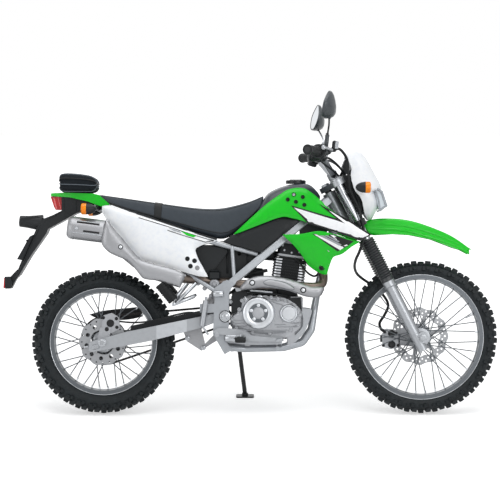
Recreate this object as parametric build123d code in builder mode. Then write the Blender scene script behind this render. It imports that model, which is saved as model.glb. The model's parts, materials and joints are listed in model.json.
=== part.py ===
from build123d import *
from math import atan2, cos, degrees, hypot, pi, radians, sin, tan
import os

# A small dual sport motorcycle resting on its side stand.
# It is modelled upright: +X forward, +Y left, +Z up, the ground at Z = 0 below the middle of the wheelbase.
# The finished pieces are leaned onto the stand and shifted so that the origin is the bottom centre of the whole.

# Driving dimensions, mm
WHEELBASE = 1270
FRONT_TYRE_R, FRONT_TYRE_HALF = 305, 40
REAR_TYRE_R, REAR_TYRE_HALF = 287, 50
FRONT_AXLE = (WHEELBASE / 2, FRONT_TYRE_R)
REAR_AXLE = (-WHEELBASE / 2, REAR_TYRE_R)
FRONT_RIM_R, REAR_RIM_R = 249, 213
LEAN = 10  # degrees to the left
RAKE = 27
STEER_LOCK = 45
LEG_SIDE, LEG_AHEAD = 92, 46  # fork leg centres from the mid-plane and from the steering axis
SLIDER_R, BOOT_R, TUBE_R = 21, 28, 16.5
BAR_R, GRIP_R = 11, 16
CHAIN_Y, CHAIN_PITCH, CHAIN_LINKS = 72, 12.7, 118
FRONT_TEETH, REAR_TEETH = 15, 47
HOSE_R = 3.5
FRONT_SPROCKET = (-96, 400)
BEAM_HIGH, BEAM_WIDE = 31, 23
SPOKES = 36
CROWN_HALF = 16  # half width of the flat of both tyres' centre blocks, on whose edge the leaned bike stands
TYRE_PITCHES = 56  # flat pitches round a tyre, with a centre block and a pair of shoulder blocks by turns
BLOCK_TAPER = 0.72  # length of a block's top along the tread as a share of its foot

# The steering axis: local X is ahead of it, local Y is left, local Z runs up along it.
STEER = Plane(
    origin=(576.2, 0, 275.0),
    x_dir=(cos(radians(RAKE)), 0, sin(radians(RAKE))),
    z_dir=(-sin(radians(RAKE)), 0, cos(radians(RAKE))),
)


# The upward direction of the ground and the ground's height under a point y to the left, seen from the upright bike
GROUND_UP = Vector(0, -sin(radians(LEAN)), cos(radians(LEAN)))


def ground(y):
    return (y - CROWN_HALF) * sin(radians(LEAN)) / cos(radians(LEAN))


# The side stand: its hinge, its foot on the ground, and where the leg points when it is folded up
STAND_HINGE = Vector(-95, 130, 266)
STAND_FOOT = Vector(-70, 274, ground(274))
STAND_DOWN = (STAND_FOOT - STAND_HINGE).normalized()
STAND_UP = Vector(-0.99, 0.10, 0.08)
STAND_AXIS = STAND_DOWN.cross(STAND_UP).normalized()


def fork(ahead, left, up):
    """A point given ahead of, left of and along the steering axis."""
    return STEER.from_local_coords(Vector(ahead, left, up))


def rod(start, end, radius, bore=0.0, mode=Mode.ADD):
    """A straight round bar between two points."""
    run = Vector(*end) - Vector(*start)
    with BuildSketch(Plane(origin=tuple(start), z_dir=run)) as face:
        Circle(radius)
        if bore:
            Circle(bore, mode=Mode.SUBTRACT)
    extrude(face.sketch, amount=run.length, mode=mode)


def drum(at, radius, y_low, y_high, bore=0.0, mode=Mode.ADD):
    """A disc or tube across the bike, centred on an (X, Z) point."""
    rod((at[0], y_low, at[1]), (at[0], y_high, at[1]), radius, bore, mode)


def pipe(points, radius, bend, mode=Mode.ADD):
    """A round tube along straight runs joined by arcs."""
    with BuildLine() as route:
        FilletPolyline(*points, radius=bend)
    with BuildSketch(Plane(origin=tuple(points[0]), z_dir=route.line % 0)) as face:
        Circle(radius)
    sweep(face.sketch, path=route.line, mode=mode)


def beam(points, wide, high, bend):
    """A rectangular tube with rounded corners along straight runs joined by arcs."""
    with BuildLine() as route:
        FilletPolyline(*points, radius=bend)
    ahead = route.line % 0
    across = Vector(0, 1, 0) - ahead * ahead.Y
    with BuildSketch(Plane(origin=tuple(points[0]), x_dir=across, z_dir=ahead)) as face:
        RectangleRounded(wide, high, 5)
    sweep(face.sketch, path=route.line)


def slab(outline, y_low, y_high, corner=0.0, mode=Mode.ADD):
    """An X-Z outline given thickness across the bike."""
    with BuildSketch(Plane.XZ.offset(-y_high)) as face:
        Polygon(*outline, align=None)
        if corner:
            fillet(face.vertices(), corner)
    extrude(face.sketch, amount=y_high - y_low, mode=mode)


def plan(outline, z_low, z_high, corner=0.0, mode=Mode.ADD):
    """An X-Y outline given height."""
    with BuildSketch(Plane.XY.offset(z_low)) as face:
        Polygon(*outline, align=None)
        if corner:
            fillet(face.vertices(), corner)
    extrude(face.sketch, amount=z_high - z_low, mode=mode)


def front_view(outline, x_low, x_high, corner=0.0, mode=Mode.ADD):
    """A Y-Z outline given length along the bike."""
    with BuildSketch(Plane.YZ.offset(x_low)) as face:
        Polygon(*outline, align=None)
        if corner:
            fillet(face.vertices(), corner)
    extrude(face.sketch, amount=x_high - x_low, mode=mode)


def skin(low, high, z_low, z_high, thick, mode=Mode.INTERSECT):
    """A leaning moulded sheet between a low and a high plan line of (X, Y) points."""
    faces = []
    for line, z in ((low, z_low), (high, z_high)):
        outer = [(x, y + thick) for x, y in line]
        with BuildSketch(Plane.XY.offset(z)) as face:
            Polygon(*line, *reversed(outer), align=None)
        faces.append(face.sketch)
    loft(faces, ruled=True, mode=mode)


def hull(sections, ruled=False, mode=Mode.ADD):
    """A body lofted along X through rows of x, z_low, z_high, half_low, half_high, corner."""
    faces = []
    for x, z_low, z_high, half_low, half_high, corner in sections:
        with BuildSketch(Plane.YZ.offset(x)) as face:
            Polygon((-half_low, z_low), (half_low, z_low), (half_high, z_high), (-half_high, z_high), align=None)
            fillet(face.vertices(), corner)
        faces.append(face.sketch)
    loft(faces, ruled=ruled, mode=mode)


def turned(at, points, corner=0.0, mode=Mode.ADD):
    """A profile of (radius, Y) points turned about the axle through an (X, Z) point."""
    middle = Plane(origin=(at[0], 0, at[1]), x_dir=(1, 0, 0), z_dir=(0, 0, 1))
    with BuildSketch(middle) as face:
        Polygon(*points, align=None)
        if corner:
            fillet(face.vertices(), corner)
    revolve(face.sketch, axis=Axis((at[0], 0, at[1]), (0, 1, 0)), mode=mode)


def hose(points):
    """A held hose: straight runs joined by arcs as large as the runs allow."""
    radii = []
    for before, corner, after in zip(points, points[1:], points[2:]):
        run_in, run_out = Vector(*corner) - Vector(*before), Vector(*after) - Vector(*corner)
        half_turn = radians(run_in.get_angle(run_out)) / 2
        radii.append(0.45 * min(run_in.length, run_out.length) / tan(half_turn))
    print("hose radii", [round(radius) for radius in radii])
    with BuildLine() as route:
        FilletPolyline(*points, radius=radii)
    with BuildSketch(Plane(origin=points[0], z_dir=route.line % 0)) as face:
        Circle(HOSE_R)
    sweep(face.sketch, path=route.line)


def flat(*corners):
    """A flat face through its corners."""
    return Face(Wire.make_polygon([Vector(*corner) for corner in corners], close=True))


def round_bolt_circle(at, radius, count):
    """Points evenly spaced on a circle about an (X, Z) point."""
    turn = 2 * pi / count
    return [(at[0] + radius * cos(turn * i), at[1] + radius * sin(turn * i)) for i in range(count)]


# ---------------------------------------------------------------- fuel tank, seat and body panels

with BuildPart() as fuel_tank:
    slab(
        [(13, 866), (32, 887), (88, 913), (171, 921), (202, 917), (219, 904), (232, 882), (243, 862),
         (205, 836), (150, 789), (75, 726), (-95, 726), (-58, 758), (2, 820)],
        -106, 106,
    )
    front_view(
        [(-72, 700), (-106, 790), (-103, 835), (-84, 885), (-50, 918), (0, 926),
         (50, 918), (84, 885), (103, 835), (106, 790), (72, 700)],
        -120, 260, corner=14, mode=Mode.INTERSECT,
    )
    # room for the upper clamp and the fork tubes from lock to lock
    for lock in range(-STEER_LOCK, STEER_LOCK + 1, 15):
        legs = [Vector(LEG_AHEAD, side * LEG_SIDE).rotate(Axis.Z, lock) for side in (-1, 1)]
        with BuildSketch(STEER.offset(682)) as swept:
            with Locations((0, 0), *legs):
                Circle(36)
            make_hull()
        extrude(swept.sketch, amount=38, mode=Mode.SUBTRACT)
        with BuildSketch(STEER.offset(570)) as tubes_swept:
            with Locations(*legs):
                Circle(TUBE_R + 6)
        extrude(tubes_swept.sketch, amount=114, mode=Mode.SUBTRACT)
fuel_tank.part.label = "fuel_tank"

with BuildPart() as fuel_cap:
    rod((134, 0, 921), (134, 0, 930), 41)
    rod((134, 0, 930), (134, 0, 934), 30)
fuel_cap.part.label = "fuel_cap"

with BuildPart() as seat:
    hull([
        # x, z_low, z_high, half_low, half_high, corner
        (-668, 861, 875, 62, 56, 6),
        (-610, 836, 868, 84, 74, 12),
        (-531, 808, 857, 96, 80, 16),
        (-413, 770, 840, 101, 82, 20),
        (-290, 730, 823, 97, 76, 20),
        (-190, 697, 818, 88, 66, 20),
        (-122, 694, 828, 80, 58, 20),
        (-50, 694, 848, 72, 52, 18),
        (9, 694, 872, 66, 46, 16),
    ])
    # the nose is cut back to the rear edge of the tank
    slab([(60, 900), (11, 868), (-1, 820), (-60, 759), (-110, 715), (-147, 689), (-147, 640), (60, 640)],
         -140, 140, mode=Mode.SUBTRACT)
seat.part.label = "seat"

with BuildPart() as tank_shrouds:
    slab(
        [(-111, 716), (5, 823), (69, 870), (108, 892), (159, 896), (198, 874), (236, 840), (253, 821), (328, 771),
         (420, 714), (385, 693), (382, 695), (180, 763), (120, 780), (73, 785), (-12, 755)],
        60, 260,
    )
    skin(
        [(-130, 112), (5, 124), (120, 146), (250, 170), (340, 186), (430, 192)],
        [(-130, 88), (5, 100), (120, 108), (250, 124), (340, 144), (430, 168)],
        690, 896, 4,
    )
    drum((150, 852), 8, 80, 122)
    mirror(about=Plane.XZ)
    add(fuel_tank.part, mode=Mode.SUBTRACT)
tank_shrouds.part.label = "tank_shrouds"

with BuildPart() as lower_shrouds:
    slab(
        [(82, 712), (100, 727), (205, 727), (218, 725), (270, 716), (355, 690), (381, 686), (312, 639), (278, 626),
         (253, 558), (231, 562), (184, 596), (150, 643), (116, 682)],
        60, 260,
    )
    skin(
        [(60, 96), (120, 104), (200, 118), (260, 132), (320, 158), (400, 186)],
        [(60, 130), (120, 142), (200, 156), (260, 168), (320, 178), (400, 186)],
        550, 730, 4,
    )
    mirror(about=Plane.XZ)
lower_shrouds.part.label = "lower_shrouds"

with BuildPart() as tank_side_covers:
    slab([(-157, 687), (-111, 715), (-10, 753), (73, 783), (120, 778), (147, 770), (5, 657), (-8, 645)], 60, 260)
    skin([(-170, 102), (0, 110), (160, 118)], [(-170, 98), (0, 104), (160, 112)], 640, 790, 4)
    drum((20, 745), 10, 80, 108)
    mirror(about=Plane.XZ)
    add(fuel_tank.part, mode=Mode.SUBTRACT)
tank_side_covers.part.label = "tank_side_covers"

with BuildPart() as side_panels:
    slab(
        [(-634, 825), (-605, 827), (-187, 691), (-182, 689), (-224, 677), (-266, 658), (-256, 617), (-218, 548),
         (-288, 561), (-338, 576), (-464, 611), (-489, 624), (-615, 775), (-634, 812)],
        60, 260,
    )
    skin(
        [(-640, 150), (-489, 146), (-340, 134), (-260, 124), (-180, 112)],
        [(-640, 102), (-489, 106), (-340, 106), (-260, 104), (-180, 100)],
        545, 830, 4,
    )
    for x, z, y_low, y_high in ((-413, 640, 96, 130), (-420, 744, 92, 118)):
        drum((x, z), 7, y_low, y_high)
    mirror(about=Plane.XZ)
side_panels.part.label = "side_panels"

# ---------------------------------------------------------------- frame and subframe

with BuildPart() as frame:
    rod(fork(0, 0, 538), fork(0, 0, 682), 27)
    # one side's beams and tubes, then the mirror image
    beam([(268, 26, 852), (160, 62, 761), (-58, 96, 578), (-128, 105, 519)], BEAM_WIDE, BEAM_HIGH, 60)
    slab([(-188, 505), (-141, 535), (-112, 522), (-133, 480), (-133, 351), (-152, 300), (-120, 258), (-150, 240),
          (-196, 320)], 94, 116, corner=4)
    pipe([(-20, 86, 636), (-150, 90, 670), (-400, 92, 738), (-600, 70, 797), (-668, 62, 832)], 9, 60)
    rod((-121, 92, 668), (-112, 100, 540), 8)
    pipe([(-170, 105, 480), (-289, 98, 554), (-500, 92, 700), (-585, 74, 782)], 9, 60)
    pipe([(224, 14, 505), (208, 62, 415), (196, 76, 335), (160, 80, 283), (84, 82, 263), (-70, 86, 259),
          (-150, 98, 268)], 12.5, 30)
    mirror(about=Plane.XZ)
    rod((306, 0, 812), (222, 0, 495), 17)
    slab([(300, 770), (262, 880), (180, 800), (190, 770)], -9, 9, corner=3)
    for x, z, radius in ((-150, 387, 9), (-168, 318, 10), (-150, 262, 11), (60, 262, 9)):
        drum((x, z), radius, -100, 100)
    for x, y, z in ((-400, 90, 738), (-620, 66, 807)):
        rod((x, -y, z), (x, y, z), 8)
    for side in (-1, 1):
        rod((267, side * 10, 645), (262, side * 156, 652), 6)
    rod((-250, -86, 701), (-250, 86, 701), 8)
    rod((-150, -100, 520), (-150, 100, 520), 11)
    slab([(-248, 402), (-185, 406), (-185, 440), (-248, 440)], -116, -110, corner=4)
    for panel in (lower_shrouds, side_panels):
        add(panel.part, mode=Mode.SUBTRACT)
    # side stand lug and its hinge bolt
    slab([(-130, 240), (-82, 246), (-82, 282), (-120, 300)], 94, 108, corner=4)
    rod(STAND_HINGE - STAND_AXIS * 26, STAND_HINGE - STAND_AXIS * 10.8, 14)
    rod(STAND_HINGE - STAND_AXIS * 20, STAND_HINGE + STAND_AXIS * 11.6, 5)
    rod(STAND_HINGE + STAND_AXIS * 11.2, STAND_HINGE + STAND_AXIS * 16, 9)
    rod(fork(0, 0, 500), fork(0, 0, 700), 17, mode=Mode.SUBTRACT)
frame.part.label = "frame"


with BuildPart() as air_box:
    slab([(-330, 690), (-160, 660), (-135, 648), (-200, 566), (-228, 553), (-330, 580)], -76, 76, corner=8)
    slab([(-268, 670), (-232, 664), (-232, 698), (-268, 698)], -24, 24)
    add(frame.part, mode=Mode.SUBTRACT)
air_box.part.label = "air_box"

# ---------------------------------------------------------------- engine and exhaust

with BuildPart() as engine_cases:
    slab([(-122, 452), (-60, 467), (161, 467), (161, 336), (109, 298), (-112, 298), (-122, 345)], -58, 50, corner=8)
    slab([(-52, 455), (150, 455), (150, 345), (100, 310), (-52, 310)], 50, 92, corner=8)
    drum((20, 400), 62, 92, 112)
    slab([(-100, 462), (150, 462), (150, 345), (100, 306), (-98, 306)], -96, -58, corner=10)
    drum((-17, 402), 61, -120, -96)
    drum((-17, 402), 34, -126, -120)
    drum((105, 402), 30, -112, -96)
    for x, z in round_bolt_circle((-17, 402), 54, 5):
        drum((x, z), 5, -124, -120)
    # the starter motor behind the barrel
    drum((-58, 488), 24, -66, 46)
    # mounting lugs
    drum((-126, 447), 9.5, -96, 96)
    for side in (-1, 1):
        low, high = sorted((side * 74, side * 90))
        slab([(-76, 324), (-44, 324), (-48, 264), (-68, 264)], low, high)
        slab([(96, 316), (128, 330), (126, 268), (104, 266)], low, high)
    add(frame.part, mode=Mode.SUBTRACT)
engine_cases.part.label = "engine_cases"

with BuildPart() as cylinder:
    # the barrel leans forward a little; fins stand out from it all round
    tilt = radians(8)
    barrel = Plane(origin=(92, 0, 468), x_dir=(cos(tilt), 0, -sin(tilt)), z_dir=(sin(tilt), 0, cos(tilt)))
    with BuildSketch(barrel.offset(10)):
        RectangleRounded(92, 92, 18)
    extrude(amount=160)
    with BuildSketch(barrel.offset(1)):
        Circle(50)
    extrude(amount=12)
    for i in range(8):
        with BuildSketch(barrel.offset(76 + i * 11)):
            RectangleRounded(132, 122, 22)
        extrude(amount=5)
    with BuildSketch(barrel.offset(165)):
        RectangleRounded(112, 100, 14)
    extrude(amount=44)
    with BuildSketch(barrel.offset(209)):
        RectangleRounded(84, 76, 14)
    extrude(amount=16)
    add(frame.part, mode=Mode.SUBTRACT)
    add(engine_cases.part, mode=Mode.SUBTRACT)
cylinder.part.label = "cylinder"

with BuildPart() as carburettor:
    rod((60, 0, 628), (-12, 0, 634), 20)
    slab([(-78, 604), (-78, 690), (-66, 698), (-24, 698), (-12, 688), (-12, 604), (-28, 576), (-62, 576)], -30, 30, corner=5)
    drum((-45, 640), 15, -46, 44)
    rod((-78, 0, 640), (-150, 0, 636), 26)
    for other in (frame, air_box, cylinder, engine_cases):
        add(other.part, mode=Mode.SUBTRACT)
carburettor.part.label = "carburettor"

with BuildPart() as exhaust_pipe:
    pipe([(158, -24, 652), (212, -34, 626), (242, -88, 540), (202, -130, 507), (60, -134, 515), (-80, -137, 518),
          (-200, -136, 528), (-330, -135, 542), (-440, -138, 572), (-500, -142, 606)], 18, 34)
    add(cylinder.part, mode=Mode.SUBTRACT)
exhaust_pipe.part.label = "exhaust_pipe"

with BuildPart() as silencer:
    rod((-494, -141.8, 601), (-566, -146, 661), 22)
    rod((-612, -148.6, 723.5), (-768, -156, 743), 44)
    rod((-560, -146, 656), (-616, -148.6, 722), 29)
    rod((-720, -154, 737), (-780, -157, 744.5), 18, mode=Mode.SUBTRACT)
    add(exhaust_pipe.part, mode=Mode.SUBTRACT)
silencer.part.label = "silencer"

with BuildPart() as exhaust_guards:
    slab([(236, 540), (210, 552), (30, 556), (-60, 548), (-76, 530), (-70, 500), (-20, 470), (60, 468), (180, 474),
          (228, 494)], -165, -159, corner=6)
    slab([(-614, 775), (-633, 690), (-626, 668), (-601, 643), (-532, 611), (-501, 580), (-469, 542), (-419, 533),
          (-324, 504), (-300, 555), (-337, 574), (-463, 609), (-487, 622)], -208, -202)
    # stand-offs on the pipe and the silencer
    for x, z, y_low, y_high in ((20, 515, -160, -140), (170, 508, -160, -140), (-382, 553, -203, -144),
                                (-600, 712, -203, -160)):
        drum((x, z), 8, y_low, y_high)
    for other in (exhaust_pipe, silencer):
        add(other.part, mode=Mode.SUBTRACT)
exhaust_guards.part.label = "exhaust_guards"

# ---------------------------------------------------------------- swingarm, suspension and rear axle

with BuildPart() as swingarm:
    slab([(-170, 372), (-238, 345), (-434, 295), (-676, 248), (-688, 254), (-688, 284), (-680, 290), (-547, 327),
          (-238, 390), (-160, 407)], 60, 120)
    plan([(-140, 66), (-300, 66), (-420, 88), (-700, 88), (-700, 112), (-420, 112), (-300, 90), (-140, 90)],
         200, 450, mode=Mode.INTERSECT)
    drum((-150, 387), 20, 66, 90)
    mirror(about=Plane.XZ)
    drum((-150, 387), 20, -66, 66)
    slab([(-325, 372), (-290, 378), (-290, 335), (-325, 328)], -70, 70, corner=4)
    drum((-150, 387), 9.3, -100, 100, mode=Mode.SUBTRACT)
    drum(REAR_AXLE, 8.3, -130, 130, mode=Mode.SUBTRACT)
swingarm.part.label = "swingarm"

with BuildPart() as shock_absorber:
    rod((-166, 0, 494), (-236, 0, 372), 28)
    rod((-145, 0, 529), (-166, 0, 494), 15)
    rod((-236, 0, 372), (-256, 0, 338), 12)
    # rocker and link below
    slab([(-318, 331), (-262, 352), (-244, 334), (-226, 262), (-244, 250), (-300, 286)], -24, 24, corner=2)
    slab([(-246, 250), (-236, 270), (-176, 332), (-160, 304)], -16, 16)
    drum((-168, 318), 16, -16, 16)
    for other in (frame, swingarm):
        add(other.part, mode=Mode.SUBTRACT)
shock_absorber.part.label = "shock_absorber"

with BuildPart() as rear_axle:
    drum(REAR_AXLE, 8, -124, 124)
    for side in (-1, 1):
        low, high = sorted((side * 112.3, side * 121))
        drum(REAR_AXLE, 15, low, high)
    drum(REAR_AXLE, 14, -87.6, -74)
    drum(REAR_AXLE, 14, 82, 87.6)
rear_axle.part.label = "rear_axle"

sprocket_r = CHAIN_PITCH / (2 * sin(pi / FRONT_TEETH))
wheel_sprocket_r = CHAIN_PITCH / (2 * sin(pi / REAR_TEETH))
chain_slope = degrees(atan2(FRONT_SPROCKET[1] - REAR_AXLE[1], FRONT_SPROCKET[0] - REAR_AXLE[0]))
chain_run = hypot(FRONT_SPROCKET[1] - REAR_AXLE[1], FRONT_SPROCKET[0] - REAR_AXLE[0])
chain_plane = Plane(
    origin=(REAR_AXLE[0], CHAIN_Y, REAR_AXLE[1]),
    x_dir=(cos(radians(chain_slope)), 0, sin(radians(chain_slope))),
    z_dir=(0, -1, 0),
)
with BuildPart() as chain:
    # the rollers lie on the pitch line; wide outer links and narrow inner links take turns
    with BuildSketch(chain_plane) as loop:
        Circle(wheel_sprocket_r)
        with Locations((chain_run, 0)):
            Circle(sprocket_r)
        make_hull()
    pitch_line = loop.sketch.faces()[0].outer_wire()
    rollers = [pitch_line @ (i / CHAIN_LINKS) for i in range(CHAIN_LINKS)]
    middle = chain_plane.from_local_coords(Vector(chain_run / 2, 0))
    rims = []
    for i, roller in enumerate(rollers):
        along = (rollers[(i + 1) % CHAIN_LINKS] - rollers[i - 1]).normalized()
        outward = along.cross(Vector(0, 1, 0))
        if outward.dot(roller - middle) < 0:
            outward = outward * -1
        rims.append((roller + outward * 5.2, roller - outward * 3.2))
    faces = []
    for i in range(CHAIN_LINKS):
        (top, foot), (next_top, next_foot) = rims[i], rims[(i + 1) % CHAIN_LINKS]
        wide = i % 2 == 0
        for low, high in ((-7, -4.6), (-4.6, 4.6), (4.6, 7)):
            left, right = Vector(0, low, 0), Vector(0, high, 0)
            if wide or low == -4.6:
                faces.append(flat(top + left, top + right, next_top + right, next_top + left))
                faces.append(flat(foot + left, foot + right, next_foot + right, next_foot + left))
            if low != -4.6:
                # the step between a wide and a narrow link
                faces.append(flat(top + left, top + right, foot + right, foot + left))
        for side in (-1, 1):
            across = Vector(0, side * (7 if wide else 4.6), 0)
            faces.append(flat(top + across, next_top + across, next_foot + across, foot + across))
    add(Solid(Shell(faces)))
chain.part.label = "chain"

with BuildPart() as front_sprocket:
    drum(FRONT_SPROCKET, sprocket_r - 3.2, CHAIN_Y - 3, CHAIN_Y + 3)
    drum(FRONT_SPROCKET, 12, 50.2, CHAIN_Y + 6)
    add(chain.part, mode=Mode.SUBTRACT)
front_sprocket.part.label = "front_sprocket"

with BuildPart() as chain_guard:
    slab([(-740, 392), (-700, 420), (-620, 426), (-430, 408), (-425, 418), (-620, 440), (-705, 434), (-752, 400)], 62, 92)
    slab([(-566, 312), (-536, 318), (-536, 418), (-566, 424)], 88, 92, corner=3)
    add(swingarm.part, mode=Mode.SUBTRACT)
chain_guard.part.label = "chain_guard"

with BuildPart() as rear_caliper:
    slab([(-640, 330), (-634, 392), (-600, 402), (-570, 384), (-567, 340), (-600, 322)], -84, -46, corner=6)
    drum(REAR_AXLE, 96, -69, -61, mode=Mode.SUBTRACT)
    slab([(-645, 345), (-600, 345), (-612, 280), (-635, 262), (-658, 280)], -87.5, -80, corner=4)
    for other in (swingarm, rear_axle):
        add(other.part, mode=Mode.SUBTRACT)
rear_caliper.part.label = "rear_caliper"

# ---------------------------------------------------------------- foot controls, pegs and side stand

with BuildPart() as foot_pegs:
    for side in (-1, 1):
        low, high = sorted((side * 132, side * 224))
        slab([(-106, 290), (-106, 314), (-68, 314), (-68, 290)], low, high, corner=3)
        low, high = sorted((side * 116.3, side * 134))
        slab([(-150, 290), (-150, 318), (-80, 314), (-80, 292)], low, high, corner=3)
        rod((-331, side * 172, 437), (-414, side * 172, 543), 16)
        low, high = sorted((side * 158, side * 168))
        slab([(-344, 472), (-256, 538), (-322, 428)], low, high, corner=5)
        low, high = sorted((side * 116.2, side * 130))
        slab([(-196, 466), (-152, 466), (-152, 492), (-196, 492)], low, high, corner=4)
        rod((-190, side * 127, 479), (-300, side * 160, 479), 8)
foot_pegs.part.label = "foot_pegs"

with BuildPart() as foot_controls:
    # brake pedal on the right, gear lever on the left
    pipe([(-186, -126, 317), (-160, -136, 342), (-60, -139, 322), (64, -142, 292)], 6.5, 14)
    slab([(48, 284), (48, 298), (80, 304), (80, 290)], -166, -134, corner=3)
    rod((-238, -127, 352), (-224, -127, 453), 11)
    rod((-238, -127, 352), (-214, -127, 318), 4)
    slab([(-222, 308), (-180, 306), (-180, 324), (-222, 326)], -131, -124, corner=3)
    drum((-180, 317), 9, -134, -116.2)
    drum((-40, 330), 7, 92.1, 124)
    pipe([(-40, 118, 330), (20, 128, 338), (92, 132, 352)], 5.5, 14)
    rod((92, 124, 352), (92, 162, 352), 9)
foot_controls.part.label = "foot_controls"

with BuildPart() as side_stand:
    rod(STAND_HINGE - STAND_AXIS * 10, STAND_HINGE + STAND_AXIS * 10, 14)
    rod(STAND_HINGE + STAND_DOWN * 8, STAND_FOOT + GROUND_UP * 12, 9)
    with BuildSketch(Plane(origin=tuple(STAND_FOOT), x_dir=(1, 0, 0), z_dir=GROUND_UP)) as sole:
        RectangleRounded(74, 46, 10)
    extrude(sole.sketch, amount=6)
    rod(STAND_FOOT + GROUND_UP * 5, STAND_FOOT + GROUND_UP * 16, 13)
    rod(STAND_HINGE - STAND_AXIS * 30, STAND_HINGE + STAND_AXIS * 30, 5.3, mode=Mode.SUBTRACT)
side_stand.part.label = "side_stand"

with BuildPart() as rear_brake_hose:
    hose([(-232, -127, 400), (-290, -122, 408), (-346, -112, 396), (-404, -106, 380), (-462, -98, 367),
          (-522, -82, 364), (-580, -70, 370)])
    for other in (foot_controls, rear_caliper):
        add(other.part, mode=Mode.SUBTRACT)
rear_brake_hose.part.label = "rear_brake_hose"

# ---------------------------------------------------------------- tail

with BuildPart() as tail_fender:
    slab([(-844, 868), (-842, 879), (-793, 881), (-673, 877), (-650, 872), (-609, 836), (-612, 826), (-640, 826),
          (-696, 846), (-765, 862)], -90, 90)
    plan([(-850, -52), (-850, 52), (-760, 72), (-660, 86), (-600, 84), (-600, -84), (-660, -86), (-760, -72)],
         780, 900, corner=12, mode=Mode.INTERSECT)
    add(seat.part, mode=Mode.SUBTRACT)
    add(frame.part, mode=Mode.SUBTRACT)
    add(side_panels.part, mode=Mode.SUBTRACT)
tail_fender.part.label = "tail_fender"

with BuildPart() as plate_holder:
    slab([(-700, 842), (-740, 800), (-855, 736), (-861, 720), (-925, 628), (-970, 552), (-988, 544), (-950, 636),
          (-916, 706), (-905, 731), (-877, 776), (-806, 804), (-800, 811), (-800, 866), (-765, 860)], -56, 56)
    plan([(-1000, -46), (-1000, 46), (-900, 46), (-790, 56), (-690, 56), (-690, -56), (-790, -56), (-900, -46)],
         500, 900, corner=6, mode=Mode.INTERSECT)
    slab([(-968, 780), (-900, 790), (-866, 776), (-890, 736), (-906, 742), (-959, 757)], -24, 24, corner=4)
    slab([(-913, 714), (-928, 706), (-978, 616), (-957, 612)], -58, 58)
    slab([(-966, 560), (-980, 575), (-1006, 548), (-1003, 500), (-985, 535)], -22, 22)
    add(tail_fender.part, mode=Mode.SUBTRACT)
    add(frame.part, mode=Mode.SUBTRACT)
plate_holder.part.label = "plate_holder"

with BuildPart() as rear_lamps:
    slab([(-848, 867), (-800.5, 864), (-800.5, 812), (-828, 812)], -48, 48, corner=4)
    slab([(-1033, 543), (-1006, 545), (-1003, 500), (-1030, 498)], -40, 40, corner=2)
    add(plate_holder.part, mode=Mode.SUBTRACT)
rear_lamps.part.label = "rear_lamps"

with BuildPart() as rear_indicators:
    for side in (-1, 1):
        rod((-715, side * 180, 814), (-664, side * 180, 814), 23)
        pipe([(-690, side * 160, 814), (-690, side * 100, 814), (-650, side * 66, 823)], 7, 14)
    add(frame.part, mode=Mode.SUBTRACT)
rear_indicators.part.label = "rear_indicators"

with BuildPart() as tail_bag:
    slab([(-799, 957), (-671, 941), (-661, 924), (-668, 893), (-676, 881.3), (-788, 881.3), (-808, 893), (-808, 930)],
         -100, 100, corner=8)
tail_bag.part.label = "tail_bag"

# ---------------------------------------------------------------- fork, steering and bars

with BuildPart() as triple_clamps:
    rod(fork(0, 0, 506), fork(0, 0, 708), 14.5)
    for low in (541, 663):
        rod(fork(0, 0, low), fork(0, 0, low + 16), 16.8)
    for low, high, reach in ((504, 530, 26), (690, 710, 24)):
        with BuildSketch(STEER.offset(low)):
            with Locations((LEG_AHEAD, LEG_SIDE), (LEG_AHEAD, -LEG_SIDE), (0, 0)):
                Circle(reach + 4)
            make_hull()
        extrude(amount=high - low)
    for side in (-1, 1):
        rod(fork(44, side * 44, 709), fork(44, side * 44, 750), 14)
        rod(fork(LEG_AHEAD, side * LEG_SIDE, 480), fork(LEG_AHEAD, side * LEG_SIDE, 760), TUBE_R, mode=Mode.SUBTRACT)
    rod((282, -80, 950), (282, 80, 950), BAR_R, mode=Mode.SUBTRACT)
triple_clamps.part.label = "triple_clamps"

with BuildPart() as fork_tubes:
    for side in (-1, 1):
        rod(fork(LEG_AHEAD, side * LEG_SIDE, 277), fork(LEG_AHEAD, side * LEG_SIDE, 711), TUBE_R)
fork_tubes.part.label = "fork_tubes"

with BuildPart() as fork_boots:
    for side in (-1, 1):
        for i in range(16):
            rod(fork(LEG_AHEAD, side * LEG_SIDE, 283 + i * 10), fork(LEG_AHEAD, side * LEG_SIDE, 288 + i * 10), BOOT_R)
        rod(fork(LEG_AHEAD, side * LEG_SIDE, 280), fork(LEG_AHEAD, side * LEG_SIDE, 446), BOOT_R - 4)
        rod(fork(LEG_AHEAD, side * LEG_SIDE, 270), fork(LEG_AHEAD, side * LEG_SIDE, 450), TUBE_R, mode=Mode.SUBTRACT)
fork_boots.part.label = "fork_boots"

with BuildPart() as fork_sliders:
    for side in (-1, 1):
        rod(fork(LEG_AHEAD, side * LEG_SIDE, -46), fork(LEG_AHEAD, side * LEG_SIDE, 276), SLIDER_R)
        rod(fork(LEG_AHEAD, side * LEG_SIDE, 240), fork(LEG_AHEAD, side * LEG_SIDE, 276), SLIDER_R + 4)
        low, high = sorted((side * 71, side * 113))
        drum(FRONT_AXLE, 22, low, high)
    drum(FRONT_AXLE, 8, -130, 130, mode=Mode.SUBTRACT)
fork_sliders.part.label = "fork_sliders"

with BuildPart() as front_axle:
    drum(FRONT_AXLE, 8, -121, 121, bore=5)
    drum(FRONT_AXLE, 13, -70.8, -44, bore=8)
    drum(FRONT_AXLE, 13, 64, 70.8, bore=8)
    drum(FRONT_AXLE, 14, 113.3, 121, bore=8)
    drum(FRONT_AXLE, 14, -121, -113.3, bore=8)
front_axle.part.label = "front_axle"

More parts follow.
